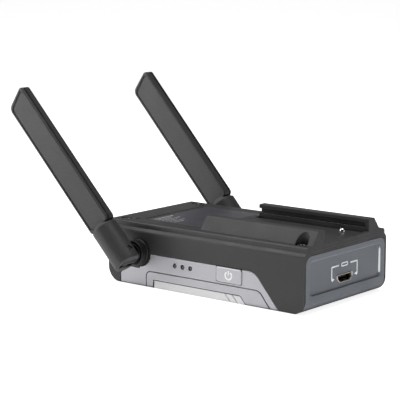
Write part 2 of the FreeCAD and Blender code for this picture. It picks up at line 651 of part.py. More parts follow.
def port_tongue():
    """Insulating tongue inside the port, on a block that fills the shell's back."""
    x0 = PORT_X[0] + PORT_T
    half = PORT_W / 2 - PORT_SLANT
    block = prism_x(port_corners(-PORT_T), x0, x0 + TONGUE_BLOCK)
    return block.fuse(box(x0, PORT_X[1] - TONGUE_SUNK, PORT_Y - half, PORT_Y + half,
                          PORT_Z + TONGUE_Z[0], PORT_Z + TONGUE_Z[1]))


def info_label():
    """Thin blank label in its recess."""
    return prism_z(rect(*LABEL, LABEL_R), BODY_H - LABEL_DEPTH, BODY_H - LABEL_DEPTH + LABEL_T)


# ---------------------------------------------------------------- controls
def power_button():
    """Button cap with a bevelled face, a stem through the wall and a retaining collar behind it."""
    face = -HALF_W - BUTTON_PROUD
    cap = prism_y(button_outline(BUTTON_GAP), face, -CAP_IN)
    cap = cap.makeChamfer(BUTTON_BEVEL, [e for e in cap.Edges if e.BoundBox.YMax < face + 0.01])
    stem = crosswise(STEM_R, BUTTON_X, BUTTON_Z, -CAP_IN - LAP, -STEM_END)
    collar = crosswise(STEM_R + STEM_COLLAR, BUTTON_X, BUTTON_Z, -IN_W + FIT, -STEM_END)
    return cap.fuse(stem).fuse(collar).removeSplitter()


def switch_plunger():
    """Plunger of the tactile switch, which the button's stem rests on."""
    return crosswise(PLUNGER_R, BUTTON_X, BUTTON_Z, -STEM_END, SIDE_BOARD_Y - SWITCH[1] + PLUNGER_SUNK)


def power_switch():
    """Tactile switch body on the side board."""
    half_x, half_z = SWITCH[0] / 2, SWITCH[2] / 2
    face = SIDE_BOARD_Y - SWITCH[1]
    body = box(BUTTON_X - half_x, BUTTON_X + half_x, face, SIDE_BOARD_Y, BUTTON_Z - half_z, BUTTON_Z + half_z)
    bore = PLUNGER_SUNK + BUTTON_TRAVEL + SWITCH_ROOM
    return body.cut(crosswise(PLUNGER_R + FIT, BUTTON_X, BUTTON_Z, face - 1, face + bore))


def side_board():
    """Small upright board behind the trim for the lights and the switch."""
    return box(LIGHTS[0] - SIDE_BOARD_ENDS[0], BUTTON_X + SIDE_BOARD_ENDS[1], SIDE_BOARD_Y,
               SIDE_BOARD_Y + SIDE_BOARD_T, BOARD_TOP + SLIP, SIDE_BOARD_TOP)


def status_leds():
    """Surface mounted light emitters on the side board."""
    length, depth, height = EMITTER
    return Part.makeCompound([box(x - length / 2, x + length / 2, SIDE_BOARD_Y - depth, SIDE_BOARD_Y,
                                  LED_Z - height / 2, LED_Z + height / 2) for x in LIGHTS])


def light_guide():
    """Clear guide: a bar behind the wall with one finger to each light hole."""
    tip = -HALF_W + GUIDE_SUNK
    half = GUIDE_H / 2
    guide = box(LIGHTS[0] - half, LIGHTS[-1] + half, -IN_W + SLIP, SIDE_BOARD_Y - EMITTER[1] - GUIDE_BACK,
                LED_Z - half, LED_Z + half)
    for x in LIGHTS:
        finger = crosswise(GUIDE_R, x, LED_Z, tip, -IN_W + ROOT)
        tip_edges = [e for e in finger.Edges if e.BoundBox.YMax < tip + 0.01]
        guide = guide.fuse(finger.makeFillet(GUIDE_EDGE, tip_edges))
    return guide


# ---------------------------------------------------------------- inside
def main_board():
    """Main circuit board with clear corners round the posts and holes for its screws."""
    board = prism_z(rect(*BOARD, BOARD_R), BOARD_LOW, BOARD_TOP)
    for place in COVER_SCREWS:
        board = board.cut(upright(POST_R + POST_CLEAR, place, BOARD_LOW - 1, BOARD_TOP + 1))
    for place in STANDOFFS:
        board = board.cut(upright(BOARD_HOLE_R, place, BOARD_LOW - 1, BOARD_TOP + 1))
    return board


def board_screws():
    """Four small screws that hold the main board."""
    screws = []
    for place in STANDOFFS:
        head = upright(BOARD_HEAD[0], place, BOARD_TOP, BOARD_TOP + BOARD_HEAD[1])
        screws.append(head.fuse(upright(BOARD_SCREW[0], place, BOARD_LOW - BOARD_SCREW[1], BOARD_TOP + LAP)))
    return Part.makeCompound(screws)


def rf_shield():
    """Drawn can over the radio section."""
    can = prism_z(rect(*CAN, CAN_R), BOARD_TOP, BOARD_TOP + CAN_H)
    return can.cut(prism_z(rect(*inset(CAN, CAN_T), CAN_R - CAN_T), BOARD_TOP - 1, BOARD_TOP + CAN_H - CAN_T))


def radio_chip():
    """Radio module under the can."""
    return box(*inset(CAN, RADIO_INSET), BOARD_TOP, BOARD_TOP + RADIO_T)


def video_chip():
    """Main processor."""
    return box(*inset(SINK, CHIP_INSET), BOARD_TOP, BOARD_TOP + CHIP_T)


def heat_sink():
    """Finned block on the processor."""
    x0, x1, y0, y1 = SINK
    base = BOARD_TOP + CHIP_T
    sink = box(*SINK, base, base + SINK_BASE)
    pitch = (y1 - y0 - FIN_T) / (FIN_COUNT - 1)
    for i in range(FIN_COUNT):
        y = y0 + i * pitch
        sink = sink.fuse(box(x0, x1, y, y + FIN_T, base + SINK_BASE, base + SINK_BASE + FIN_H))
    return sink.removeSplitter()


def battery_pack():
    """Flat rechargeable cell under the board."""
    x, y = HALF_L - CELL_IN[0], HALF_W - CELL_IN[1]
    return prism_z(rect(-x, x, -y, y, CELL_R), WALL + PAD_T, BOARD_LOW - CELL_GAP)


def battery_pad():
    """Adhesive foam that holds the cell to the floor."""
    x, y = HALF_L - PAD_IN[0], HALF_W - PAD_IN[1]
    return box(-x, x, -y, y, WALL, WALL + PAD_T)


# ---------------------------------------------------------------- lock pin
def lock_pin():
    """Domed pin with a flange that the spring pushes up against the cover."""
    place = (LOCK_X, LOCK_Y)
    top = BODY_H + LOCK_PROUD
    pin = upright(LOCK_R, place, LOCK_STEP - LOCK_ROOT, top)
    pin = pin.makeFillet(LOCK_DOME, [e for e in pin.Edges if e.BoundBox.ZMin > top - 0.01])
    return pin.fuse(upright(LOCK_FLANGE_R, place, LOCK_STEP - LOCK_FLANGE_T, LOCK_STEP - LOCK_ROOM))


def lock_spring():
    """Compression spring under the pin's flange."""
    base = LOCK_LOW + RETAINER_T
    rise = LOCK_STEP - LOCK_FLANGE_T - base - 2 * SPRING_WIRE
    helix = Part.makeLongHelix(rise / SPRING_TURNS, rise, SPRING_R)
    ring = Part.Wire(Part.makeCircle(SPRING_WIRE, V(SPRING_R, 0, 0), V(0, 1, 0)))
    coil = Part.Wire(helix).makePipeShell([ring], True, True)
    coil.translate(V(LOCK_X, LOCK_Y, base + SPRING_WIRE))
    return coil


def lock_retainer():
    """Press-in disc that closes the spring's bore."""
    return upright(LOCK_FLANGE_R + SLIP, (LOCK_X, LOCK_Y), LOCK_LOW, LOCK_LOW + RETAINER_T)


# ---------------------------------------------------------------- antenna connector (near side)
def out(distance):
    """Point on the connector axis, a distance out from the near side face."""
    return V(AERIAL_X, -HALF_W - distance, AERIAL_Z)


def sleeve(radius, start, end):
    """Cylinder on the connector axis between two distances out."""
    return rod(radius, out(start), out(end))


def antenna_collar():
    """Fixed round collar between the wall and the coupling nut."""
    ring = sleeve(COLLAR_R, -TRIM_T, COLLAR_OUT)
    outer = [e for e in ring.Edges if e.BoundBox.YMax < -HALF_W - COLLAR_OUT + 0.01]
    return ring.makeFillet(COLLAR_EDGE, outer).cut(sleeve(JACK_R + JACK_ROOM, -WALL - 1, COLLAR_OUT + 1))


def antenna_jack():
    """Threaded jack through the wall with its socket and a crimp tail."""
    jack = sleeve(JACK_R, JACK_IN, JACK_TIP).fuse(sleeve(TAIL_R, JACK_IN - TAIL_L, JACK_IN + LAP))
    jack = jack.cut(sleeve(JACK_R - JACK_WALL, SOCKET_FLOOR, JACK_TIP + 1))
    return jack.cut(sleeve(LEAD_R + SLIP, JACK_IN - TAIL_L - 1, JACK_IN - TAIL_FLOOR))


def jack_nut():
    """Hexagon nut that clamps the jack from inside."""
    radius = JACK_R + JACK_NUT_WALL
    turns = [math.radians(60 * i) for i in range(6)]
    points = [(AERIAL_X + radius * math.cos(a), AERIAL_Z + radius * math.sin(a), 0) for a in turns]
    nut = prism_y(points, -IN_W, -IN_W + JACK_NUT_T)
    return nut.cut(sleeve(JACK_R + THREAD_FIT, JACK_IN - 1, 0))


def coupling_nut():
    """Ringed nut that turns on the jack; its outer end is a shallow cup round the elbow."""
    nut = sleeve(NUT_R, *NUT_OUT)
    nut = nut.makeFillet(NUT_EDGE, [e for e in nut.Edges if e.Curve.TypeId == "Part::GeomCircle"])
    for radius, start, end in ((JACK_R + FIT, 0, WEB[0]), (WEB_HOLE_R, 0, WEB[1]),
                               (TONGUE_R + CUP_ROOM, WEB[1], NUT_OUT[1])):
        nut = nut.cut(sleeve(radius, start, end))
    width, depth = NUT_RING
    for start in NUT_RINGS:
        ring = sleeve(NUT_R + 1, start, start + width).cut(sleeve(NUT_R - depth, start, start + width))
        nut = nut.cut(ring)
    return nut


def rf_plug():
    """Plug ferrule in the jack with the flange that the nut pulls on."""
    plug = sleeve(JACK_R - JACK_WALL - FIT, PLUG_START, WEB[0])
    plug = plug.fuse(sleeve(JACK_R - PLUG_FLANGE, JACK_TIP + PLUG_ROOM[0], WEB[0] - PLUG_ROOM[1]))
    plug = plug.fuse(sleeve(WEB_HOLE_R - PLUG_ROOM[0], WEB[0] - 2 * PLUG_ROOM[1], WEB[1] + ELBOW_GAP))
    return plug.fuse(sleeve(PIN_R, WEB[1], PIN_OUT)).removeSplitter()


def antenna_lead():
    """Coax tail from the jack to its socket on the main board: inward, then down."""
    start = out(JACK_IN - TAIL_L + LEAD_DEPTH)
    a = start + V(0, LEAD_RUN, 0)
    middle = a + V(0, LEAD_TURN * math.sin(math.pi / 4), -LEAD_TURN * (1 - math.cos(math.pi / 4)))
    b = a + V(0, LEAD_TURN, -LEAD_TURN)
    path = Part.Wire([Part.makeLine(start, a), Part.Arc(a, middle, b).toShape()])
    ring = Part.Wire(Part.makeCircle(LEAD_R, start, V(0, 1, 0)))
    return path.makePipeShell([ring], True, False)


def lead_socket():
    """Small coax socket on the main board under the lead's end."""
    end = out(JACK_IN - TAIL_L + LEAD_DEPTH - LEAD_RUN - LEAD_TURN)
    return upright(LEAD_SOCKET_R, (end.x, end.y), BOARD_TOP, AERIAL_Z - LEAD_TURN)


# ---------------------------------------------------------------- antenna, in its own frame
# s runs along the paddle from the fold pin, e across its width, v towards the housing.
def placed(shape, side):
    """Put an antenna piece from its own (e, v, s) frame onto its connector."""
    turned = shape.copy()
    turned.rotate(V(0, 0, 0), V(0, 1, 0), -TILT[side])
    turned.translate(out(PIVOT_OUT))
    return turned if side == "near" else mirrored(turned)


def pivot_rod(radius, reach):
    """Cylinder on the fold axis, the same length to both sides."""
    return rod(radius, V(-reach, 0, 0), V(reach, 0, 0))


def elbow():
    """Round stub that leaves the nut and narrows to the tongue on the fold pin."""
    face = PIVOT_OUT - WEB[1] - ELBOW_GAP
    body = rod(TONGUE_R, V(0, face, 0), V(0, 0, 0)).fuse(pivot_rod(TONGUE_R, BARREL_R))
    ears = pivot_rod(BARREL_R + SWING_ROOM, BEYOND)
    ears = ears.fuse(box(-BEYOND, BEYOND, -BEYOND, 0, -BEYOND, BEYOND))
    middle = box(-TONGUE_T / 2, TONGUE_T / 2, -BEYOND, BEYOND, -BEYOND, BEYOND)
    body = body.cut(ears.cut(middle)).cut(pivot_rod(FOLD_PIN_R + FIT, BARREL_R + 1))
    bore_end = PIVOT_OUT - PIN_OUT - SLIP
    return body.cut(rod(PIN_R + PIN_ROOM, V(0, face + 1, 0), V(0, bore_end, 0)))


def fork_slot():
    """Space the tongue needs in the barrel from folded to straight."""
    half = TONGUE_T / 2 + SLIP
    reach = TONGUE_R + FORK_ROOM
    slot = pivot_rod(reach, half).fuse(box(-half, half, 0, BEYOND, -BEYOND, reach))
    return slot.fuse(box(-half, half, -reach, BEYOND, -BEYOND, 0))


def paddle(margin=0.0):
    """Flat paddle blank with a slanted tip and round corners, moved inward by a margin."""
    w = PADDLE_W / 2 - margin
    start, high = PADDLE_START + margin, PADDLE_END - margin
    neck_r, high_r, low_r = PADDLE_ROUND
    corners = [(-w, start, neck_r), (w, start, neck_r), (w, high, high_r), (-w, high - TIP_SLANT, low_r)]
    return prism_y(corners, -PADDLE_T / 2, PADDLE_T / 2)


def paddle_halves():
    """The paddle's front and back half: rims, sunk faces and the hollow for the antenna strip."""
    t = PADDLE_T / 2
    blank = paddle()
    outer = [e for e in blank.Edges if abs(abs(e.BoundBox.YMax) - t) < 1e-4 and e.BoundBox.YLength < 1e-4]
    blank = blank.makeFillet(PADDLE_EDGE, outer)
    width, depth = SPLIT_GROOVE
    band = box(-PADDLE_W, PADDLE_W, SPLIT_V, SPLIT_V + width, 0, BEYOND)
    blank = blank.cut(paddle().common(band).cut(paddle(depth)))
    w, start, high = PADDLE_W / 2 - FACE_RIM, PADDLE_START + FACE_NECK, PADDLE_END - FACE_TIP
    neck_r, high_r, low_r = FACE_ROUND
    sunk = [(-w, start, neck_r), (w, start, neck_r), (w, high, high_r), (-w, high - TIP_SLANT, low_r)]
    blank = blank.cut(prism_y(sunk, -t - 1, -t + FACE_SUNK)).cut(prism_y(sunk, t - FACE_SUNK, t + 1))
    w, start = HOLLOW_W / 2, PADDLE_START + HOLLOW_ENDS[0]
    hollow = [(-w, start, HOLLOW_R), (w, start, HOLLOW_R), (w, PADDLE_END - HOLLOW_ENDS[1], HOLLOW_R),
              (-w, PADDLE_END - HOLLOW_ENDS[2], HOLLOW_R)]
    blank = blank.cut(prism_y(hollow, SPLIT_V, HOLLOW_TOP))
    front = box(-BEYOND, BEYOND, -BEYOND, SPLIT_V, 0, BEYOND)
    return blank.common(front), blank.cut(front)


def barrel():
    """Round barrel with a fork at its lower end and a taper into the paddle."""
    low, high = V(0, 0, -BARREL_END), V(0, 0, BARREL_TOP)
    body = rod(BARREL_R, low, high)
    body = body.makeFillet(BARREL_EDGE, [e for e in body.Edges if e.BoundBox.ZMax < -BARREL_END + 0.01])
    body = body.fuse(Part.makeCone(BARREL_R, NECK[0], NECK[1], high, V(0, 0, 1)))
    corner = box(-BEYOND, BEYOND, 0, BEYOND, -BEYOND, 0).cut(pivot_rod(BARREL_R, BEYOND))
    body = body.cut(corner).cut(fork_slot()).cut(pivot_rod(FOLD_PIN_R, BARREL_R + 1))
    wells = pivot_rod(FOLD_PIN_R + PIN_WELL, BARREL_R + 1).cut(pivot_rod(FOLD_PIN_R + PIN_WELL, FOLD_PIN_END))
    return body.cut(wells)


def antenna_strip():
    """Printed antenna board inside the paddle."""
    return box(-FILM_W / 2, FILM_W / 2, *FILM_V, PADDLE_START + FILM_ENDS[0], PADDLE_END - FILM_ENDS[1])


def antenna_pieces():
    """The pieces of one antenna in its own frame; barrel and back half are one moulding."""
    front, back = paddle_halves()
    front_space = paddle().common(box(-BEYOND, BEYOND, -BEYOND, SPLIT_V, PADDLE_START, BEYOND))
    body = barrel().cut(front_space).fuse(back).removeSplitter()
    return {"elbow": elbow(), "fold_pin": pivot_rod(FOLD_PIN_R, FOLD_PIN_END), "antenna_body": body,
            "antenna_cover": front, "antenna_strip": antenna_strip()}


# ---------------------------------------------------------------- assembly
SINGLE = (main_shell, top_cover, cover_screws, front_trim, end_panel, port_shell, port_tongue, info_label,
          power_button, switch_plunger, power_switch, side_board, status_leds, light_guide, main_board,
          board_screws, rf_shield, radio_chip, video_chip, heat_sink, battery_pack, battery_pad, lock_pin,
          lock_spring, lock_retainer)
PAIRED = (antenna_collar, antenna_jack, jack_nut, coupling_nut, rf_plug, antenna_lead, lead_socket)

nodes = {make.__name__: make() for make in SINGLE}
nodes["back_trim"] = mirrored(trim_common())
nodes["front_strip"] = name_strip()
nodes["back_strip"] = mirrored(nodes["front_strip"])
for make in PAIRED:
    nodes[make.__name__ + "_near"] = make()
    nodes[make.__name__ + "_far"] = mirrored(make())
for name, shape in antenna_pieces().items():
    for side in TILT:
        nodes[name + "_" + side] = placed(shape, side)

os.makedirs("parts", exist_ok=True)
for name, shape in nodes.items():
    shape.exportStep(os.path.join("parts", name + ".step"))
    print("%-20s solids %d valid %s volume %.1f" % (name, len(shape.Solids), shape.isValid(), shape.Volume))
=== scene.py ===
import math

import bpy
import numpy as np
from bpy.props import FloatProperty, FloatVectorProperty, IntProperty, PointerProperty
from mathutils import Matrix, Vector


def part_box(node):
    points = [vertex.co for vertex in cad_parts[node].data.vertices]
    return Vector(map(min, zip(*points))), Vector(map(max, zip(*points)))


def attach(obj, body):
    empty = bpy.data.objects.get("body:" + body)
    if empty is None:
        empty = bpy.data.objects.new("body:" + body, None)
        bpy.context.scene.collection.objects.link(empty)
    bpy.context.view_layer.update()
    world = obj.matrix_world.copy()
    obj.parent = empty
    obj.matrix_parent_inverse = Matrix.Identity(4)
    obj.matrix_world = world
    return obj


bl_info = {
    "name": "Wireless Receiver Looks",
    "version": (1, 0, 0),
    "blender": (4, 5, 0),
    "location": "3D View > Sidebar > Receiver",
    "description": "Finishes, printed marks and small fittings of a wireless receiver on its fixed frame",
    "category": "Object",
}

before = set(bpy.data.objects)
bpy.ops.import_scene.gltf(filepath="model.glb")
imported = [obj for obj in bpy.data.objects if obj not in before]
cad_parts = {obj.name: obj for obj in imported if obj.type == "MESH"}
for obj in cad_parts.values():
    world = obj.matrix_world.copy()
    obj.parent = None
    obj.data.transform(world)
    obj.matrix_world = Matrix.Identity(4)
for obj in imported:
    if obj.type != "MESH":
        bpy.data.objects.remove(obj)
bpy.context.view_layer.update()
MM = 0.001
SIDES = ("near", "far")
CREVICE_REACH = 7.0              # painted shade darkens a crevice over this many edge widths
CREVICE = (0.30, 0.85)           # openness of a full crevice, and of an open face: where the painted shade is full and where it ends
EDGE_LEAN = (0.985, 0.86)        # softened normal against the true one: on a flat, and on a full edge of the painted highlight
MOTTLE = (0.35, 0.65)            # noise values where the two colours of a mottle are pure
PLASTIC_MOTTLE, METAL_MOTTLE = 0.12, 0.04       # share by which the colour varies
PLASTIC_CLOUD, METAL_CLOUD = 0.009, 0.012       # width of a slow change of gloss, in metres
METAL_GRAIN = 0.00018            # width of the grain of metal and paint, in metres
METAL_SPREAD = 0.05              # change of roughness over metal and paint
EVEN, BRUSHED = (1, 1, 1), (0.1, 1, 1)          # stretch of the grain
TRIM_LIGHT_AND_SHADE = {"edge": 0.0004, "rub": 1.5, "grime": 0.2}       # metal paint with a painted highlight on its edges and painted shade in its crevices

ARROW_LEVEL = 0.0003             # port's centre to the arrows' line
ARROW_TIP = 0.0001               # width of an arrow's point
ARROW_NECK, ARROW_LENGTH = 0.4, 1.2             # of the head's size: where its line ends, and its point
CORNER = 0.0005                  # rounding of a strip's seam
LENS_DEPTH = 0.0003              # lens below its dome
HOLE_SHADE_WALL, HOLE_SHADE_DROP = 0.00006, 0.00003         # thickness of the near-black sleeve that paints shade in a light's hole, and its start below the face
RIM_FLATNESS, RING_FLATNESS = 0.5, 0.6          # height of a ring for its thickness
LIP_CORNER = 0.0004              # rounding of the port's lip
CONTACT_BACK, CONTACT_FRONT = 0.0017, 0.0004    # contacts in from the ends of the tongue
CONTACT_SPAN, CONTACT_SHARE = 0.82, 0.5         # of the tongue's width, and of one contact's room
CONTACT_LIFT, CONTACT_HEIGHT = 0.00005, 0.00006
# Length and width of each blank row of the label, in mm.
LABEL_ROWS = ((13.0, 1.2), (9.5, 0.8), (12.5, 0.7), (8.0, 0.6), (10.5, 0.6), (7.0, 0.6))
ROW_IN, ROW_FIRST, ROW_PITCH = 1.5, 2.4, 2.3    # rows' places on the label, in mm
BLOCK_PITCH, BLOCK_SHARE = 1.6, 0.72            # a row's blank blocks, in mm and as a share of the pitch
BACK_ARROW_FIRST, BACK_ARROW_PITCH, BACK_ARROW_IN = 13.5, 9.0, 3.0      # in from the label's corner, in mm
BACK_ARROW_RUN = (5, 1.6)        # along and across, in mm
BACK_ARROW_LINE, BACK_ARROW_HEAD, BACK_ARROW_TIP = 0.4, 1.6, 0.1        # widths, in mm
BACK_ARROW_SHARE = 0.35          # length of the head for the shaft's
BACK_LIFT = 0.00002              # back marks over the label
# Steps and end flare of the painted glint on the end recess's far wall.
GLINT_STEPS, GLINT_FLARE = 16, 1.25
FLOOR_RISE, FLOOR_START, FLOOR_DROP = 0.25, 0.8, 0.0001
SENSOR, NEAR_CLIP = 36, 0.01     # camera's sensor in mm, and its near limit in metres


# ---------------------------------------------------------------- user settings
def length(name, text, default):
    """A size in metres."""
    return FloatProperty(name=name, description=text, default=default, unit="LENGTH", precision=5)


def colour(name, text, default):
    """A linear colour."""
    return FloatVectorProperty(name=name, description=text, default=default, subtype="COLOR", size=3, min=0,
                               max=1)


def share(name, text, default):
    """A number from 0 to 1."""
    return FloatProperty(name=name, description=text, default=default, subtype="FACTOR", min=0, max=1)


def number(name, text, default):
    """A plain number."""
    return FloatProperty(name=name, description=text, default=default)


def degrees(name, text, default):
    """An angle, given in degrees."""
    return FloatProperty(name=name, description=text, default=math.radians(default), subtype="ANGLE")


class PlasticSettings(bpy.types.PropertyGroup):
    """Colours and grain of the moulded parts."""
    shell: colour("Shell", "Black of the housing", (0.050, 0.050, 0.050))
    end: colour("End", "Blue grey of the port end", (0.235, 0.255, 0.290))
    label: colour("Label", "Dark violet of the label film", (0.072, 0.069, 0.086))
    antenna: colour("Antenna", "Black of the paddles and barrels", (0.066, 0.066, 0.066))
    # Painted shade: dark colour laid on the gap round a bright strip.
    seam: colour("Seam", "Dark seam round a bright strip", (0.03, 0.03, 0.034))
    lens: colour("Lens", "Smoke grey of the status lenses", (0.20, 0.21, 0.23))
    # Painted shade: near-black colour of the sleeve that darkens the inside of a light's hole.
    hole_shade: colour("Well", "Inside of a light's hole", (0.012, 0.012, 0.013))
    ring: colour("Ring", "Moulded rings of the cover", (0.016, 0.016, 0.017))
    # Painted shade: dark colour of the line drawn in each paddle face's groove.
    line: colour("Line", "Line inside a paddle's rim", (0.010, 0.010, 0.011))
    roughness: share("Roughness", "Roughness of the moulded grain", 0.46)
    grain: length("Grain", "Width of one grain of the texture", 0.00022)
    grain_depth: length("Grain Depth", "Depth of the grain", 0.000008)
    speckle: length("Speckle", "Width of one spot of the colour's mottle", 0.00050)
    # The edge radius also sets the width of the painted edge highlight and the reach of the painted crevice
    # shade.
    edge: length("Edge", "Radius that softens the moulded edges", 0.00032)


class MetalSettings(bpy.types.PropertyGroup):
    """Colours of the silver and bare metal parts."""
    trim: colour("Trim", "Satin silver of the side trims", (0.62, 0.62, 0.66))
    strip: colour("Strip", "Bright strip inlaid in the trims", (0.92, 0.92, 0.93))
    steel: colour("Steel", "Screws and pins", (0.50, 0.50, 0.51))
    chrome: colour("Chrome", "Lock pin", (0.85, 0.85, 0.86))
    port: colour("Port", "Shell of the port", (0.62, 0.58, 0.50))
    lip: colour("Lip", "Rolled lip of the port", (0.78, 0.75, 0.68))
    nut: colour("Nut", "Coupling nuts", (0.030, 0.030, 0.032))
    # The rims are real rings, coloured lighter than the trim as a painted highlight.
    light_rim: colour("Light Rim", "Rims of the lights' holes", (0.78, 0.78, 0.80))
    # Painted highlight: colour of the glint strip that stands in for a reflection on the end recess's far
    # wall.
    bevel: colour("Bevel", "Bright bevel of the end panel's recess", (0.86, 0.87, 0.89))
    arrow: colour("Arrow", "Faint arrows on the back", (0.34, 0.34, 0.34))
    gold: colour("Gold", "Contacts and connectors", (0.80, 0.60, 0.28))
    ink: colour("Ink", "White of the printed marks", (0.90, 0.91, 0.92))
    # Painted glow: emission that makes the white ink and the recess glint brighter than the lamps alone make
    # them.
    painted_glow: share("Ink Glow", "Brightness that the fluorescent white ink adds", 0.30)


class MarkSettings(bpy.types.PropertyGroup):
    """Sizes of the printed marks."""
    ink_height: length("Ink Height", "Height of a printed line", 0.00004)
    bracket_half: length("Bracket Half", "Port centre to the upright of a bracket", 0.0096)
    bracket_top: length("Bracket Top", "Port centre to the top line of a bracket", 0.0058)
    bracket_start: length("Bracket Start", "Port centre to the inner end of a top line", 0.0044)
    stroke: length("Stroke", "Width of a bracket's line", 0.00062)
    head: length("Head", "Length of an arrow head", 0.0017)
    glyph_width: length("Glyph Width", "Width of the plain mark over the port", 0.0046)
    glyph_height: length("Glyph Height", "Height of the plain mark over the port", 0.0013)
    power_radius: length("Power Radius", "Radius of the power sign", 0.0017)
    power_stroke: length("Power Stroke", "Line width of the power sign", 0.00062)
    power_gap: degrees("Power Gap", "Gap at the top of the power sign", 70)
    recess: length("Recess", "Depth of the end panel's recess", 0.001)
    # Place and width of the painted glint on the end recess's far wall.
    glint_side: length("Bevel Side", "Bright bevel, in from the panel's side", 0.0033)
    glint_low: length("Bevel Low", "Bright bevel, over the panel's foot", 0.0088)
    glint_top: length("Bevel Top", "Bright bevel, under the panel's top", 0.0042)
    glint_width: length("Bevel Width", "Width of the bright bevel", 0.0009)
    glint_normal: FloatVectorProperty(name="Bevel Normal", description="Slope of the recess's far wall",
                                      size=3, default=(1.6, -1.0, 0.0))
    strip_seam: length("Strip Seam", "Width of the dark seam round a bright strip", 0.00034)
    strip_lean: number("Strip Lean", "Run of the strip's right end for its height", 0.87)


class FittingSettings(bpy.types.PropertyGroup):
    """Sizes of the small fittings."""
    lip: length("Port Lip", "Radius of the port's rolled lip", 0.00030)
    flare: length("Port Flare", "Width of the slanted lower sides of the port", 0.0017)
    contacts: IntProperty(name="Contacts", description="Contacts in the port", default=10, min=1)
    lens_radius: length("Lens Radius", "Radius of a status lens", 0.00062)
    lens_rise: length("Lens Rise", "Height of a status lens's dome", 0.00032)
    light_pitch: length("Light Pitch", "Distance between lights", 0.0044)
    # Depth of the painted shade sleeve in a light's hole.
    hole_radius: length("Hole Radius", "Radius of a light's hole", 0.00125)
    hole_shade_depth: length("Well Depth", "Depth of the dark sleeve in a light's hole", 0.00112)
    bezel: length("Bezel", "Thickness of the bright rim of a light's hole", 0.00014)
    rim: length("Rim", "Rim round a paddle's sunk face", 0.0013)
    rim_neck: length("Rim Neck", "Paddle's start to the line", 0.0018)
    rim_tip: length("Rim Tip", "Line to the paddle's tip", 0.0015)
    rim_round: length("Rim Round", "How far a corner of the line is cut", 0.0018)
    rim_line: length("Rim Line", "Width of the line", 0.00036)
    line_height: length("Line Height", "Height of the line", 0.00003)
    tip_slant: length("Tip Slant", "Fall of the paddle's tip across its width", 0.003)
    face_sunk: length("Face Sunk", "Depth of a paddle's sunk face", 0.0003)
    screw_head: length("Screw Head", "Radius of a cover screw's head", 0.0023)
    ring: length("Ring", "Thickness of a moulded ring", 0.00022)
    mark_step: length("Mark Step", "Screw to the small moulded ring", 0.0048)
    mark_radius: length("Mark Radius", "Radius of the small moulded ring", 0.0011)


class StageSettings(bpy.types.PropertyGroup):
    """Camera, lights and floor."""
    azimuth: degrees("Azimuth", "Camera's turn from the near side towards the port end", 39.29)
    elevation: degrees("Elevation", "Camera's height over the horizon", 9.68)
    distance: length("Distance", "Camera to the aim point", 0.656)
    aim: FloatVectorProperty(name="Aim", description="Point the camera looks at", unit="LENGTH", size=3,
                             default=(0.0015, -0.0338, 0.04335))
    lens: number("Lens", "Focal length in millimetres", 138.1)
    sky: number("Sky", "Light that the white surround gives", 0.02)
    glow: number("Floor Glow", "Light that the floor paper sends up", 0.25)
    white: number("Floor White", "Glow of the floor paper as the camera sees it", 0.86)
    key: number("Key", "Power of the low light at the near left, in watts", 2.8)
    side: number("Side", "Power of the high light at the left, in watts", 2.2)
    top: number("Top", "Power of the overhead light, in watts", 3.4)
    fill: number("Fill", "Power of the light at the port end, in watts", 0.8)
    reach: length("Light Distance", "Distance of every light from the middle", 0.9)
    panel: length("Light Size", "Width of each square light", 0.45)
    floor_size: length("Floor Size", "Width of the floor", 6.0)


# ---------------------------------------------------------------- surfaces
def grid_quads(rows, columns, loop_rows, loop_columns):
    """Quads of a rows x columns point grid; a looped direction joins its last line to its first."""
    r = np.arange(rows if loop_rows else rows - 1)
    c = np.arange(columns if loop_columns else columns - 1)
    r, c = np.meshgrid(r, c, indexing="ij")
    r2, c2 = (r + 1) % rows, (c + 1) % columns
    corners = r * columns + c, r * columns + c2, r2 * columns + c2, r2 * columns + c
    return np.stack(corners, -1).reshape(-1, 4)


def round_steps(count):
    """Angles of count points round a circle."""
    return np.linspace(0, 2 * math.pi, count, endpoint=False)


def ring_profile(radius, thickness, flatness, sections=10):
    """An ellipse round a radius, as (radius, height) pairs:
    radius + thickness cos a, thickness flatness sin a."""
    angle = round_steps(sections)
    return np.stack([radius + thickness * np.cos(angle), thickness * flatness * np.sin(angle)], -1)


def capped_tube(rows):
    """A tube from rings (n, m, 3), closed at each end by a fan round the mean of its end ring."""
    n, m, _ = rows.shape
    points = np.concatenate([rows.reshape(-1, 3), rows[0].mean(0)[None], rows[-1].mean(0)[None]])
    here = np.arange(m)
    after = (here + 1) % m
    first = np.stack([np.full(m, n * m), after, here], -1)
    last = np.stack([np.full(m, n * m + 1), (n - 1) * m + here, (n - 1) * m + after], -1)
    return points, grid_quads(n, m, False, True).tolist() + first.tolist() + last.tolist()


def lathe(profile, centre, axis, side, segments=28, ring=False):
    """A profile of (radius, height) pairs turned round an axis:
    point = centre + radius (side cos a + other sin a) + height axis.
    A ring's profile is a closed loop; any other starts and ends on the axis."""
    axis, side = Vector(axis), Vector(side)
    other = np.array(axis.cross(side))
    angle = round_steps(segments)
    around = np.cos(angle)[:, None] * np.array(side) + np.sin(angle)[:, None] * other
    radius, height = np.array(profile).T
    rows = np.array(centre) + radius[:, None, None] * around + height[:, None, None] * np.array(axis)
    if ring:
        return rows.reshape(-1, 3), grid_quads(len(radius), segments, True, True).tolist()
    return capped_tube(rows)


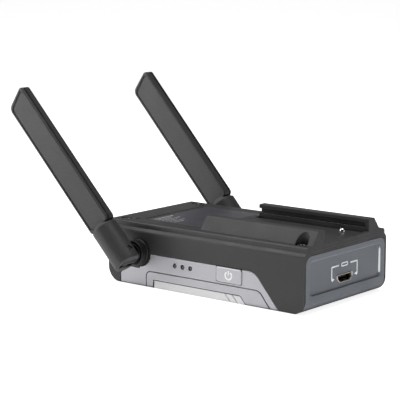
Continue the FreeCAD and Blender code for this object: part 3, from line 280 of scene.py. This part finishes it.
def ribbon(path, width, height, normal, sections=10):
    """A printed line: an ellipse carried along a flat path, half the width across and the height along the
    surface normal; width may change from point to point."""
    path = np.asarray(path, float)
    normal = np.asarray(normal, float)
    tangent = np.gradient(path, axis=0)
    tangent /= np.linalg.norm(tangent, axis=1)[:, None]
    across = np.cross(normal, tangent)
    half = np.broadcast_to(np.asarray(width, float) / 2, (len(path),))
    angle = round_steps(sections)
    rows = (path[:, None] + (half[:, None] * across)[:, None] * np.cos(angle)[None, :, None]
            + height * normal * np.sin(angle)[None, :, None])
    return capped_tube(rows)


def joined(parts):
    """Several (points, faces) pairs as one."""
    points, faces, base = [], [], 0
    for p, f in parts:
        points.append(p)
        faces += [[base + i for i in face] for face in f]
        base += len(p)
    return np.concatenate(points), faces


def corner_path(corners, radius, steps=6, loop=False):
    """A path through corners, each rounded by a quadratic curve: (1-t)^2 A + 2t(1-t) B + t^2 C, where A and C
    lie a radius before and after the corner B."""
    corners = np.asarray(corners, float)
    before, after = np.roll(corners, 1, 0), np.roll(corners, -1, 0)
    a = before - corners
    c = after - corners
    a = corners + a / np.linalg.norm(a, axis=1)[:, None] * radius
    c = corners + c / np.linalg.norm(c, axis=1)[:, None] * radius
    t = np.linspace(0, 1, steps)[None, :, None]
    curve = (1 - t) ** 2 * a[:, None] + 2 * t * (1 - t) * corners[:, None] + t ** 2 * c[:, None]
    if loop:
        return curve.reshape(-1, curve.shape[-1])
    return np.concatenate([corners[:1], curve[1:-1].reshape(-1, curve.shape[-1]), corners[-1:]])


def on_plane(points, origin, u_axis, v_axis):
    """Flat (u, v) points placed in space: origin + u u_axis + v v_axis."""
    points = np.asarray(points, float)
    return np.array(origin) + points[:, :1] * np.array(u_axis) + points[:, 1:] * np.array(v_axis)


def node_points(name):
    """A CAD node's vertices, (n, 3)."""
    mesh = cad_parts[name].data
    points = np.empty(len(mesh.vertices) * 3)
    mesh.vertices.foreach_get("co", points)
    return points.reshape(-1, 3)


def add_piece(name, surface, body, material):
    """Make a mesh object of a (points, faces) pair, dress it and let it ride on a body."""
    points, faces = surface
    mesh = bpy.data.meshes.new(name)
    mesh.from_pydata(points, [], faces)
    mesh.polygons.foreach_set("use_smooth", [True] * len(mesh.polygons))
    mesh.materials.append(material)
    mesh.update()
    piece = bpy.data.objects.new(name, mesh)
    bpy.context.scene.collection.objects.link(piece)
    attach(piece, body)
    return piece


# ---------------------------------------------------------------- materials
class Finish:
    """Builds one node material on Object coordinates."""

    def __init__(self, name, roughness, metallic=0.0, **sockets):
        self.material = bpy.data.materials.get(name) or bpy.data.materials.new(name)
        self.material.use_nodes = True
        self.tree = self.material.node_tree
        self.tree.nodes.clear()
        self.shader = self.add("ShaderNodeBsdfPrincipled", Roughness=roughness, Metallic=metallic, **sockets)
        output = self.add("ShaderNodeOutputMaterial")
        self.link(self.shader, "BSDF", output, "Surface")
        self.place = self.add("ShaderNodeTexCoord")

    def add(self, kind, **inputs):
        """A node with some input values; an underscore in a name stands for a space."""
        node = self.tree.nodes.new(kind)
        for key, value in inputs.items():
            node.inputs[key.replace("_", " ")].default_value = value
        return node

    def link(self, source, output, target, socket):
        """Join an output to an input."""
        self.tree.links.new(source.outputs[output], target.inputs[socket])

    def noise(self, size, stretch=(1, 1, 1), detail=2.0):
        """Noise whose features are about one size across, stretched along the axes."""
        mapping = self.add("ShaderNodeMapping", Scale=stretch)
        noise = self.add("ShaderNodeTexNoise", Scale=1 / size, Detail=detail)
        self.link(self.place, "Object", mapping, "Vector")
        self.link(mapping, "Vector", noise, "Vector")
        return noise

    def tint(self, noise, first, second, edge=0.0, highlight_gain=1.0, grime=1.0):
        """Base colour that varies between two colours with a noise, with a painted highlight that lightens
        convex edges by one factor and painted shade that darkens crevices by another."""
        ramp = self.tree.nodes.new("ShaderNodeValToRGB")
        for stop, position, rgb in zip(ramp.color_ramp.elements, MOTTLE, (first, second)):
            stop.position = position
            stop.color = (*rgb, 1)
        self.link(noise, "Fac", ramp, "Fac")
        colour = ramp, "Color"
        if edge > 0:
            # Painted shade in crevices from ambient occlusion, and a painted highlight on convex edges from
            # the softened normal.
            around = self.add("ShaderNodeAmbientOcclusion", Distance=edge * CREVICE_REACH)
            open_part = self.span(around, "AO", *CREVICE)
            highlight_mask = self.add("ShaderNodeMath")
            highlight_mask.operation = "MULTIPLY"
            self.link(self.bent(edge), "Result", highlight_mask, 0)
            self.link(open_part, "Result", highlight_mask, 1)
            colour = self.blended(colour, (highlight_mask, "Value"), shaded(second, highlight_gain))
            closed = self.span(around, "AO", *reversed(CREVICE))
            colour = self.blended(colour, (closed, "Result"), shaded(first, grime))
        self.link(*colour, self.shader, "Base Color")

    def span(self, node, output, start, end):
        """A value stretched so that start gives 0 and end gives 1."""
        span = self.add("ShaderNodeMapRange", From_Min=start, From_Max=end)
        self.link(node, output, span, "Value")
        return span

    def bent(self, edge):
        """1 on an edge and 0 on a flat: how far the softened normal leans from the true one."""
        soft = self.add("ShaderNodeBevel", Radius=edge)
        lean = self.add("ShaderNodeVectorMath")
        lean.operation = "DOT_PRODUCT"
        self.link(soft, "Normal", lean, 0)
        self.link(self.add("ShaderNodeNewGeometry"), "Normal", lean, 1)
        return self.span(lean, "Value", *EDGE_LEAN)

    def blended(self, colour, factor, other):
        """A colour output mixed with another colour by a factor output. The Mix node gives one name to the
        sockets of several kinds of value, so they are found by identifier."""
        mix = self.add("ShaderNodeMix")
        mix.data_type = "RGBA"
        inputs = [socket.identifier for socket in mix.inputs]
        outputs = [socket.identifier for socket in mix.outputs]
        self.link(*factor, mix, inputs.index("Factor_Float"))
        self.link(*colour, mix, inputs.index("A_Color"))
        mix.inputs[inputs.index("B_Color")].default_value = (*other, 1)
        return mix, outputs.index("Result_Color")

    def gloss(self, noise, low, high):
        """Roughness that varies between two values with a noise."""
        span = self.add("ShaderNodeMapRange", From_Min=0.3, From_Max=0.7, To_Min=low, To_Max=high)
        self.link(noise, "Fac", span, "Value")
        self.link(span, "Result", self.shader, "Roughness")

    def relief(self, noise, depth, edge=0.0):
        """Bump from a noise over edges softened by a radius."""
        bump = self.add("ShaderNodeBump", Strength=1.0, Distance=depth)
        self.link(noise, "Fac", bump, "Height")
        if edge > 0:
            bevel = self.add("ShaderNodeBevel", Radius=edge)
            self.link(bevel, "Normal", bump, "Normal")
        self.link(bump, "Normal", self.shader, "Normal")


def shaded(rgb, factor):
    """A colour made lighter or darker by a factor."""
    return tuple(min(1.0, c * factor) for c in rgb)


def moulded(name, rgb, roughness, settings, spread=0.06, rub=2.4, grime=0.2, edge=0.0, **sockets):
    """Moulded plastic: a fine grain, slow changes of gloss, a painted highlight on convex edges and painted
    shade in crevices.
    """
    finish = Finish(name, roughness, **sockets)
    edge = edge or settings.edge
    broad = finish.noise(PLASTIC_CLOUD, detail=3.0)
    fine = finish.noise(settings.grain)
    speckle = finish.noise(settings.speckle)
    finish.tint(speckle, shaded(rgb, 1 - PLASTIC_MOTTLE), shaded(rgb, 1 + PLASTIC_MOTTLE), edge, rub, grime)
    finish.gloss(broad, roughness - spread, roughness + spread)
    finish.relief(fine, settings.grain_depth, edge)
    return finish.material


def satin(name, rgb, roughness, metallic, stretch=EVEN, edge=0.0002, depth=0.000004, rub=1.0, grime=1.0,
          **sockets):
    """Satin metal or metal paint: fine grain that may run along one axis, with slow changes of gloss. A
    painted highlight on its edges and painted shade in its crevices appear only where their factors differ
    from 1."""
    finish = Finish(name, roughness, metallic, **sockets)
    broad = finish.noise(METAL_CLOUD, detail=3.0)
    fine = finish.noise(METAL_GRAIN, stretch)
    # Width of the painted edge highlight and crevice shade; none when both factors are 1.
    painted_edge = edge if rub != 1.0 or grime != 1.0 else 0.0
    finish.tint(fine, shaded(rgb, 1 - METAL_MOTTLE), shaded(rgb, 1 + METAL_MOTTLE), painted_edge, rub, grime)
    finish.gloss(broad, roughness - METAL_SPREAD, roughness + METAL_SPREAD)
    finish.relief(fine, depth, edge)
    return finish.material


def dress(material, *names):
    """Give CAD nodes a material in their own slots."""
    for name in names:
        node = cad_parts[name]
        if not node.material_slots:
            node.data.materials.append(material)
        for place in node.material_slots:
            place.material = material


def pair(*names):
    """Near and far node names of pieces that exist on both sides."""
    return [name + "_" + side for name in names for side in SIDES]


def ink(settings):
    """White printing ink, slightly uneven, with a painted glow from emission."""
    return satin("printed_ink", settings.ink, 0.5, 0.0, edge=0.0, Emission_Color=(1, 1, 1, 1),
                 Emission_Strength=settings.painted_glow)


# ---------------------------------------------------------------- operators
class RECEIVER_OT_housing(bpy.types.Operator):
    """Dress the shell, the cover, the port end and the label"""
    bl_idname = "receiver.housing"
    bl_label = "Housing"

    def execute(self, context):
        s = context.scene.receiver_plastic
        # Every moulded finish has a painted highlight on convex edges and painted shade in crevices; the end
        # panel's is wider.
        dress(moulded("shell_plastic", s.shell, s.roughness, s), "main_shell", "top_cover")
        dress(moulded("end_plastic", s.end, 0.40, s, rub=2.2, edge=0.0005), "end_panel")
        dress(moulded("label_film", s.label, 0.36, s, spread=0.03), "info_label")
        dress(moulded("collar_plastic", shaded(s.shell, 0.55), 0.36, s), *pair("antenna_collar"))
        return {"FINISHED"}


class RECEIVER_OT_metalwork(bpy.types.Operator):
    """Dress the trims, the strips, the button, the screws and the lock pin"""
    bl_idname = "receiver.metalwork"
    bl_label = "Metalwork"

    def execute(self, context):
        s = context.scene.receiver_metal
        # The trims and the button get a painted highlight on their edges and painted shade in their crevices.
        dress(satin("trim_silver", s.trim, 0.42, 0.45, **TRIM_LIGHT_AND_SHADE), "front_trim", "back_trim")
        dress(satin("button_silver", shaded(s.trim, 1.04), 0.40, 0.45, **TRIM_LIGHT_AND_SHADE), "power_button")
        dress(satin("strip_silver", s.strip, 0.34, 0.35, BRUSHED), "front_strip", "back_strip")
        dress(satin("screw_steel", s.steel, 0.28, 1.0), "cover_screws", "board_screws", *pair("fold_pin"))
        dress(satin("pin_chrome", s.chrome, 0.16, 1.0, depth=0.000001), "lock_pin")
        dress(satin("port_steel", s.port, 0.26, 1.0), "port_shell")
        dress(satin("nut_black", s.nut, 0.34, 0.3), *pair("coupling_nut"))
        return {"FINISHED"}


class RECEIVER_OT_antennas(bpy.types.Operator):
    """Dress the paddles, the barrels and the elbows"""
    bl_idname = "receiver.antennas"
    bl_label = "Antennas"

    def execute(self, context):
        s = context.scene.receiver_plastic
        dress(moulded("antenna_plastic", s.antenna, 0.42, s), *pair("antenna_body", "antenna_cover"))
        dress(moulded("elbow_plastic", shaded(s.antenna, 0.7), 0.42, s), *pair("elbow"))
        return {"FINISHED"}


class RECEIVER_OT_insides(bpy.types.Operator):
    """Dress the boards, the chips, the battery, the connectors and the leads"""
    bl_idname = "receiver.insides"
    bl_label = "Insides"

    def execute(self, context):
        plastic = context.scene.receiver_plastic
        metal = context.scene.receiver_metal
        for name, rgb, roughness, nodes in (
                ("board_mask", (0.02, 0.13, 0.06), 0.3, ["main_board", "side_board", *pair("antenna_strip")]),
                ("chip_epoxy", (0.02, 0.02, 0.02), 0.5,
                 ["radio_chip", "video_chip", "power_switch", "switch_plunger"]),
                ("pad_foam", (0.55, 0.54, 0.48), 0.9, ["battery_pad", "lock_retainer"]),
                ("lead_jacket", (0.02, 0.02, 0.02), 0.5, pair("antenna_lead")),
                ("port_insert", (0.03, 0.025, 0.018), 0.4, ["port_tongue"]),
                ("guide_clear", (0.36, 0.38, 0.42), 0.22, ["light_guide"]),
                ("emitter_resin", (0.7, 0.68, 0.5), 0.3, ["status_leds"])):
            dress(moulded(name, rgb, roughness, plastic), *nodes)
        for name, rgb, roughness, metallic, stretch, nodes in (
                ("can_tin", (0.62, 0.62, 0.60), 0.3, 1.0, EVEN, ["rf_shield", "lock_spring"]),
                ("sink_aluminium", (0.62, 0.63, 0.66), 0.38, 1.0, BRUSHED, ["heat_sink"]),
                ("cell_foil", (0.30, 0.32, 0.36), 0.4, 0.6, EVEN, ["battery_pack"]),
                ("connector_gold", metal.gold, 0.24, 1.0, EVEN,
                 pair("antenna_jack", "jack_nut", "rf_plug", "lead_socket"))):
            dress(satin(name, rgb, roughness, metallic, stretch), *nodes)
        return {"FINISHED"}


class RECEIVER_OT_end_marks(bpy.types.Operator):
    """Print the two arrows and the plain mark round the port"""
    bl_idname = "receiver.end_marks"
    bl_label = "End Marks"

    def execute(self, context):
        s = context.scene.receiver_marks
        low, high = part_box("port_shell")
        origin = (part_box("end_panel")[1].x - s.recess, (low.y + high.y) / 2, (low.z + high.z) / 2)
        across, up, normal = (0, 1, 0), (0, 0, 1), (1, 0, 0)

        def drawn(points, width):
            return ribbon(on_plane(points, origin, across, up), width, s.ink_height, normal)

        parts = []
        for sign in (-1, 1):
            line = [(sign * s.bracket_start, s.bracket_top), (sign * s.bracket_half, s.bracket_top),
                    (sign * s.bracket_half, ARROW_LEVEL),
                    (sign * (s.bracket_half - s.head * ARROW_NECK), ARROW_LEVEL)]
            parts.append(drawn(corner_path(line, s.stroke / 3), s.stroke))
            tip = sign * (s.bracket_half - s.head * ARROW_LENGTH)
            head = np.linspace((sign * (s.bracket_half - ARROW_TIP), ARROW_LEVEL), (tip, ARROW_LEVEL), 8)
            parts.append(drawn(head, np.linspace(s.head, ARROW_TIP, 8)))
        half_w, half_h = s.glyph_width / 2, s.glyph_height / 2
        frame_line = np.array([(-half_w, -half_h), (half_w, -half_h), (half_w, half_h), (-half_w, half_h)])
        loop = corner_path(frame_line + (0, s.bracket_top), half_h * 0.8, loop=True)
        loop = np.concatenate([loop, loop[:2]])
        parts.append(drawn(loop, s.stroke * 0.75))
        add_piece("port_marks", joined(parts), "housing", ink(context.scene.receiver_metal))
        return {"FINISHED"}


class RECEIVER_OT_power_sign(bpy.types.Operator):
    """Print the power sign on the button"""
    bl_idname = "receiver.power_sign"
    bl_label = "Power Sign"

    def execute(self, context):
        s = context.scene.receiver_marks
        low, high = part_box("power_button")
        origin = ((low.x + high.x) / 2, low.y, (low.z + high.z) / 2)
        across, up, normal = (1, 0, 0), (0, 0, 1), (0, -1, 0)
        turn = np.linspace(s.power_gap / 2, 2 * math.pi - s.power_gap / 2, 40)
        ring = np.stack([np.sin(turn), np.cos(turn)], -1) * s.power_radius
        bar = np.stack([np.zeros(8), np.linspace(0.1, 1.2, 8) * s.power_radius], -1)
        parts = [ribbon(on_plane(line, origin, across, up), s.power_stroke, s.ink_height, normal)
                 for line in (ring, bar)]
        white = ink(context.scene.receiver_metal)
        add_piece("power_sign", joined(parts), "power_button", white)
        return {"FINISHED"}


class RECEIVER_OT_strip_lines(bpy.types.Operator):
    """Draw a dark line round each bright strip: painted shade of the seam's gap"""
    bl_idname = "receiver.strip_lines"
    bl_label = "Strip Lines"

    def execute(self, context):
        s = context.scene.receiver_marks
        lines = []
        for name, trim, side in (("front_strip", "front_trim", -1), ("back_strip", "back_trim", 1)):
            low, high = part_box(name)
            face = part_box(trim)[0 if side < 0 else 1].y
            lean = (high.z - low.z) * s.strip_lean
            path = np.array([(low.x, low.z), (low.x, high.z), (high.x - lean, high.z), (high.x, low.z)])
            path = corner_path(path, CORNER)
            line = on_plane(path, (0, face, 0), (1, 0, 0), (0, 0, 1))
            lines.append(ribbon(line, s.strip_seam, s.ink_height, (0, side, 0)))
        # Painted shade of the gap round each strip.
        dark = moulded("seam_painted_shade", context.scene.receiver_plastic.seam, 0.6, context.scene.receiver_plastic)
        add_piece("strip_seam_shade", joined(lines), "housing", dark)
        return {"FINISHED"}


class RECEIVER_OT_port_fittings(bpy.types.Operator):
    """Roll the port's lip and set its contacts"""
    bl_idname = "receiver.port_fittings"
    bl_label = "Port Fittings"

    def execute(self, context):
        s = context.scene.receiver_fittings
        metal = context.scene.receiver_metal
        low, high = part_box("port_shell")
        middle = (low.z + high.z) / 2
        lip = s.lip
        corners = [(low.y + s.flare, low.z), (high.y - s.flare, low.z), (high.y, middle), (high.y, high.z),
                   (low.y, high.z), (low.y, middle)]
        path = corner_path(corners, LIP_CORNER, loop=True)
        tangent = np.roll(path, -1, 0) - np.roll(path, 1, 0)
        tangent /= np.linalg.norm(tangent, axis=1)[:, None]
        outward = np.stack([tangent[:, 1], -tangent[:, 0]], -1)
        angle = round_steps(10)
        flat = path[:, None] + lip * np.cos(angle)[None, :, None] * outward[:, None]
        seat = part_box("end_panel")[1].x - context.scene.receiver_marks.recess
        x = np.broadcast_to(seat + lip * np.sin(angle)[None, :, None], (*flat.shape[:2], 1))
        rows = np.concatenate([x, flat], -1)
        surface = rows.reshape(-1, 3), grid_quads(len(path), len(angle), True, True).tolist()
        add_piece("port_lip", surface, "housing", satin("lip_steel", metal.lip, 0.22, 1.0))
        low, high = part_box("port_tongue")
        pitch = (high.y - low.y) * CONTACT_SPAN / s.contacts
        z = middle + CONTACT_LIFT
        parts = []
        for i in range(s.contacts):
            y = (low.y + high.y) / 2 + (i - (s.contacts - 1) / 2) * pitch
            line = np.linspace((low.x + CONTACT_BACK, y, z), (high.x - CONTACT_FRONT, y, z), 6)
            parts.append(ribbon(line, pitch * CONTACT_SHARE, CONTACT_HEIGHT, (0, 0, -1)))
        contact_gold = satin("contact_gold", metal.gold, 0.25, 1.0)
        add_piece("port_contacts", joined(parts), "housing", contact_gold)
        return {"FINISHED"}


class RECEIVER_OT_lights(bpy.types.Operator):
    """Set a domed lens in each light's hole, a rim coloured lighter than the trim for a painted highlight,
    and a near-black sleeve for painted shade
    """
    bl_idname = "receiver.lights"
    bl_label = "Lights"

    def execute(self, context):
        s = context.scene.receiver_fittings
        low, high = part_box("light_guide")
        middle_x, z = (low.x + high.x) / 2, (low.z + high.z) / 2
        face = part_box("front_trim")[0].y
        out, side = (0, -1, 0), (1, 0, 0)
        reach = np.linspace(1, 0, 10)
        dome = [(s.lens_radius * r, s.lens_rise * (1 - r * r)) for r in reach]
        lens_profile = [(0.0, -LENS_DEPTH), (s.lens_radius, -LENS_DEPTH)] + dome
        rim_profile = ring_profile(s.hole_radius, s.bezel, RIM_FLATNESS)
        hole_shade = s.hole_radius - np.array([0.0, HOLE_SHADE_WALL, HOLE_SHADE_WALL, 0.0])
        hole_shade_profile = np.stack([hole_shade, np.array([0.0, 0.0, -1.0, -1.0]) * s.hole_shade_depth - HOLE_SHADE_DROP], -1)
        lenses, rims, hole_shades = [], [], []
        for i in (-1, 0, 1):
            x = middle_x + i * s.light_pitch
            lenses.append(lathe(lens_profile, (x, low.y, z), out, side))
            rims.append(lathe(rim_profile, (x, face, z), out, side, ring=True))
            hole_shades.append(lathe(hole_shade_profile, (x, face, z), out, side, ring=True))
        plastic = context.scene.receiver_plastic
        lens = moulded("lens_smoke", plastic.lens, 0.16, plastic, spread=0.02)
        add_piece("status_lenses", joined(lenses), "housing", lens)
        # A real ring with a lighter colour: partly a painted highlight.
        rim = satin("rim_silver_highlight", context.scene.receiver_metal.light_rim, 0.3, 0.5)
        add_piece("light_rims", joined(rims), "housing", rim)
        # Painted shade inside the holes.
        dark = moulded("painted_hole_shade", plastic.hole_shade, 0.5, plastic)
        add_piece("light_hole_shades", joined(hole_shades), "housing", dark)
        return {"FINISHED"}


class RECEIVER_OT_back_marks(bpy.types.Operator):
    """Print blank rows on the label and two plain arrows beside it"""
    bl_idname = "receiver.back_marks"
    bl_label = "Back Marks"

    def execute(self, context):
        s = context.scene.receiver_marks
        low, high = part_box("info_label")
        top, normal = high.z, (0, 0, 1)
        metal = context.scene.receiver_metal
        rows = []
        for i, (reach, width) in enumerate(LABEL_ROWS):
            x = low.x + (ROW_FIRST + ROW_PITCH * i) * MM
            count = int(reach / BLOCK_PITCH)
            pitch = reach * MM / count
            for k in range(count):
                start = low.y + ROW_IN * MM + k * pitch
                line = np.linspace((x, start, top), (x, start + pitch * BLOCK_SHARE, top), 4)
                rows.append(ribbon(line, width * MM, s.ink_height / 2, normal, sections=6))
        faint = satin("faint_ink", shaded(metal.ink, 0.75), 0.5, 0.0, edge=0.0)
        add_piece("label_rows", joined(rows), "housing", faint)
        arrows = []
        along, across = np.array(BACK_ARROW_RUN) * MM
        back_plane = high.z + BACK_LIFT
        for i in range(2):
            x, y = high.x - (BACK_ARROW_FIRST - BACK_ARROW_PITCH * i) * MM, high.y - BACK_ARROW_IN * MM
            shaft = np.linspace((x, y, back_plane), (x + along, y + across, back_plane), 6)
            arrows.append(ribbon(shaft, BACK_ARROW_LINE * MM, s.ink_height / 2, normal))
            head = np.linspace(shaft[-1], shaft[-1] + (shaft[-1] - shaft[0]) * BACK_ARROW_SHARE, 6)
            taper = np.linspace(BACK_ARROW_HEAD, BACK_ARROW_TIP, 6) * MM
            arrows.append(ribbon(head, taper, s.ink_height / 2, normal))
        lighter = satin("arrow_ink", metal.arrow, 0.5, 0.0, edge=0.0)
        add_piece("back_arrows", joined(arrows), "housing", lighter)
        return {"FINISHED"}


class RECEIVER_OT_recess_glint(bpy.types.Operator):
    """Lay a painted glint along the far wall of the end panel's recess: a bright glowing strip that stands in
    for a reflection
    """
    bl_idname = "receiver.panel_edge"
    bl_label = "Recess Glint"

    def execute(self, context):
        s = context.scene.receiver_marks
        metal = context.scene.receiver_metal
        low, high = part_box("end_panel")
        y = high.y - s.glint_side
        x = high.x - s.recess / 2
        line = np.linspace((x, y, low.z + s.glint_low), (x, y, high.z - s.glint_top), GLINT_STEPS)
        taper = np.linspace(GLINT_FLARE, 1.0, GLINT_STEPS) * s.glint_width
        taper[0] = taper[-1] = s.glint_width / 2
        normal = np.array(s.glint_normal)
        piece = ribbon(line, taper, s.ink_height, normal / np.linalg.norm(normal))
        # Painted reflection: a bright colour with a glow.
        bright = satin("painted_glint", metal.bevel, 0.3, 0.0, Emission_Color=(1, 1, 1, 1),
                       Emission_Strength=metal.painted_glow)
        add_piece("painted_recess_glint", piece, "housing", bright)
        return {"FINISHED"}


class RECEIVER_OT_cover_rings(bpy.types.Operator):
    """Set a glossy moulded ring round each screw at the antenna end, and a small one beside it"""
    bl_idname = "receiver.cover_rings"
    bl_label = "Cover Rings"

    def execute(self, context):
        s = context.scene.receiver_fittings
        low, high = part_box("cover_screws")
        head = s.screw_head
        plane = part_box("info_label")[1].z
        rings = []
        for sign, y in ((-1, low.y + head), (1, high.y - head)):
            x = low.x + head
            for dx, dy, radius in ((0, 0, head + s.ring),
                                   (s.mark_step, -sign * s.mark_step / 2, s.mark_radius)):
                profile = ring_profile(radius, s.ring, RING_FLATNESS)
                rings.append(lathe(profile, (x + dx, y + dy, plane), (0, 0, 1), (1, 0, 0), ring=True))
        plastic = context.scene.receiver_plastic
        gloss = moulded("ring_gloss", plastic.ring, 0.2, plastic, spread=0.02)
        add_piece("cover_rings", joined(rings), "housing", gloss)
        return {"FINISHED"}


class RECEIVER_OT_paddle_lines(bpy.types.Operator):
    """Draw the thin dark line inside the rim of each paddle face: painted shade of the groove there"""
    bl_idname = "receiver.paddle_lines"
    bl_label = "Paddle Lines"

    def execute(self, context):
        s = context.scene.receiver_fittings
        plastic = context.scene.receiver_plastic
        for side in SIDES:
            low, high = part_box("fold_pin_" + side)
            pivot = np.array((low + high) / 2)
            low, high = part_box("antenna_strip_" + side)
            along = np.array((low + high) / 2) - pivot
            along[1] = 0
            along /= np.linalg.norm(along)
            across = np.cross((0, 1, 0), along)
            offset = node_points("antenna_cover_" + side) - pivot
            run = offset @ along
            half = (offset @ across).max() - s.rim
            start, end = run.min() + s.rim_neck, run.max() - s.rim_tip
            corners = [(-half, start), (half, start), (half, end), (-half, end - s.tip_slant)]
            path = corner_path(corners, s.rim_round, loop=True)
            path = np.concatenate([path, path[:2]])
            sign = -1 if side == "near" else 1
            depth = (sign * offset[:, 1]).max() - s.face_sunk
            lines = []
            for out in (sign, -sign):
                origin = pivot + (0, out * depth, 0)
                line = on_plane(path, origin, across, along)
                lines.append(ribbon(line, s.rim_line, s.line_height, (0, out, 0)))
            # Painted shade of the groove inside the rim.
            dark = moulded("groove_painted_shade", plastic.line, 0.6, plastic)
            add_piece("paddle_lines_" + side, joined(lines), "antenna_" + side, dark)
        return {"FINISHED"}


class RECEIVER_OT_stage(bpy.types.Operator):
    """Set the floor, the lights and the camera"""
    bl_idname = "receiver.stage"
    bl_label = "Stage"

    def execute(self, context):
        s = context.scene.receiver_stage
        self.floor(s)
        self.lights(context, s)
        self.camera(context, s)
        return {"FINISHED"}

    def floor(self, s):
        """A sheet that runs back flat and then curves up: depth = t, height = rise max(0, t - start)^2."""
        u = np.linspace(-1, 1, 3) * s.floor_size / 2
        t = np.linspace(-0.5, 0.5, 41) * s.floor_size
        height = FLOOR_RISE * np.maximum(0, t - FLOOR_START) ** 2
        grid = np.zeros((len(t), len(u), 3))
        grid[..., 0] = u[None]
        grid[..., 1] = t[:, None]
        grid[..., 2] = height[:, None] - FLOOR_DROP
        finish = Finish("floor_paper", 0.9, Emission_Color=(1, 1, 1, 1))
        finish.tint(finish.noise(0.4), (0.93, 0.93, 0.93), (0.95, 0.95, 0.95))
        glow = finish.add("ShaderNodeMapRange", To_Min=s.glow, To_Max=s.white)
        finish.link(finish.tree.nodes.new("ShaderNodeLightPath"), "Is Camera Ray", glow, "Value")
        finish.link(glow, "Result", finish.shader, "Emission Strength")
        mesh = bpy.data.meshes.new("floor")
        mesh.from_pydata(grid.reshape(-1, 3), [], grid_quads(len(t), len(u), False, False).tolist())
        mesh.materials.append(finish.material)
        mesh.polygons.foreach_set("use_smooth", [True] * len(mesh.polygons))
        floor = bpy.data.objects.new("floor", mesh)
        floor.rotation_euler.z = s.azimuth
        bpy.context.scene.collection.objects.link(floor)

    def lights(self, context, s):
        """White surround and four soft lights, each at reach (sin a cos e, -cos a cos e, sin e)."""
        world = bpy.data.worlds.new("surround")
        context.scene.world = world
        world.use_nodes = True
        tree = world.node_tree
        seen = tree.nodes["Background"]
        lit = tree.nodes.new("ShaderNodeBackground")
        for background, strength in ((seen, 1.0), (lit, s.sky)):
            background.inputs["Color"].default_value = (1, 1, 1, 1)
            background.inputs["Strength"].default_value = strength
        mix = tree.nodes.new("ShaderNodeMixShader")
        tree.links.new(tree.nodes.new("ShaderNodeLightPath").outputs["Is Camera Ray"], mix.inputs[0])
        tree.links.new(lit.outputs[0], mix.inputs[1])
        tree.links.new(seen.outputs[0], mix.inputs[2])
        tree.links.new(mix.outputs[0], tree.nodes["World Output"].inputs["Surface"])
        for name, power, azimuth, elevation in (("key", s.key, -60, 12), ("side", s.side, -75, 52),
                                                ("top", s.top, 0, 90), ("fill", s.fill, 77, 8)):
            a, e = math.radians(azimuth), math.radians(elevation)
            place = Vector((math.sin(a) * math.cos(e), -math.cos(a) * math.cos(e), math.sin(e)))
            data = bpy.data.lights.new(name, "AREA")
            data.energy = power
            data.size = s.panel
            light = bpy.data.objects.new(name, data)
            light.location = place * s.reach
            light.rotation_euler = (-place).to_track_quat("-Z", "Y").to_euler()
            context.scene.collection.objects.link(light)

    def camera(self, context, s):
        """Camera on a sphere round the aim point: back = (sin a cos e, -cos a cos e, sin e)."""
        a, e = s.azimuth, s.elevation
        back = Vector((math.sin(a) * math.cos(e), -math.cos(a) * math.cos(e), math.sin(e)))
        right = Vector((math.cos(a), math.sin(a), 0))
        up = back.cross(right)
        data = bpy.data.cameras.new("camera")
        data.lens = s.lens
        data.sensor_width = SENSOR
        data.clip_start = NEAR_CLIP
        camera = bpy.data.objects.new("camera", data)
        turn = Matrix((right, up, back)).transposed().to_4x4()
        camera.matrix_world = Matrix.Translation(Vector(s.aim) + back * s.distance) @ turn
        context.scene.collection.objects.link(camera)
        context.scene.camera = camera
        context.scene.view_settings.view_transform = "Standard"


STEPS = (RECEIVER_OT_stage, RECEIVER_OT_housing, RECEIVER_OT_metalwork, RECEIVER_OT_antennas,
         RECEIVER_OT_insides, RECEIVER_OT_end_marks, RECEIVER_OT_power_sign, RECEIVER_OT_strip_lines,
         RECEIVER_OT_port_fittings, RECEIVER_OT_lights, RECEIVER_OT_back_marks, RECEIVER_OT_recess_glint,
         RECEIVER_OT_cover_rings, RECEIVER_OT_paddle_lines)
SETTINGS = {"receiver_plastic": PlasticSettings, "receiver_metal": MetalSettings,
            "receiver_marks": MarkSettings, "receiver_fittings": FittingSettings,
            "receiver_stage": StageSettings}


class RECEIVER_PT_panel(bpy.types.Panel):
    """Lists the receiver's settings and steps"""
    bl_idname = "RECEIVER_PT_panel"
    bl_label = "Wireless Receiver"
    bl_space_type = "VIEW_3D"
    bl_region_type = "UI"
    bl_category = "Receiver"

    def draw(self, context):
        for step in STEPS:
            self.layout.operator(step.bl_idname)
        for name, group in SETTINGS.items():
            box = self.layout.box()
            box.label(text=group.__doc__)
            for key in group.__annotations__:
                box.prop(getattr(context.scene, name), key)


def register():
    """Register every class and hang the settings on the scene."""
    for group in SETTINGS.values():
        bpy.utils.register_class(group)
    for step in (*STEPS, RECEIVER_PT_panel):
        bpy.utils.register_class(step)
    for name, group in SETTINGS.items():
        setattr(bpy.types.Scene, name, PointerProperty(type=group))


def unregister():
    """Undo register."""
    for name in SETTINGS:
        delattr(bpy.types.Scene, name)
    for step in (RECEIVER_PT_panel, *reversed(STEPS)):
        bpy.utils.unregister_class(step)
    for group in SETTINGS.values():
        bpy.utils.unregister_class(group)


def main():
    """Run every step in order."""
    register()
    for step in STEPS:
        family, name = step.bl_idname.split(".")
        getattr(getattr(bpy.ops, family), name)()


if __name__ == "__main__":
    main()
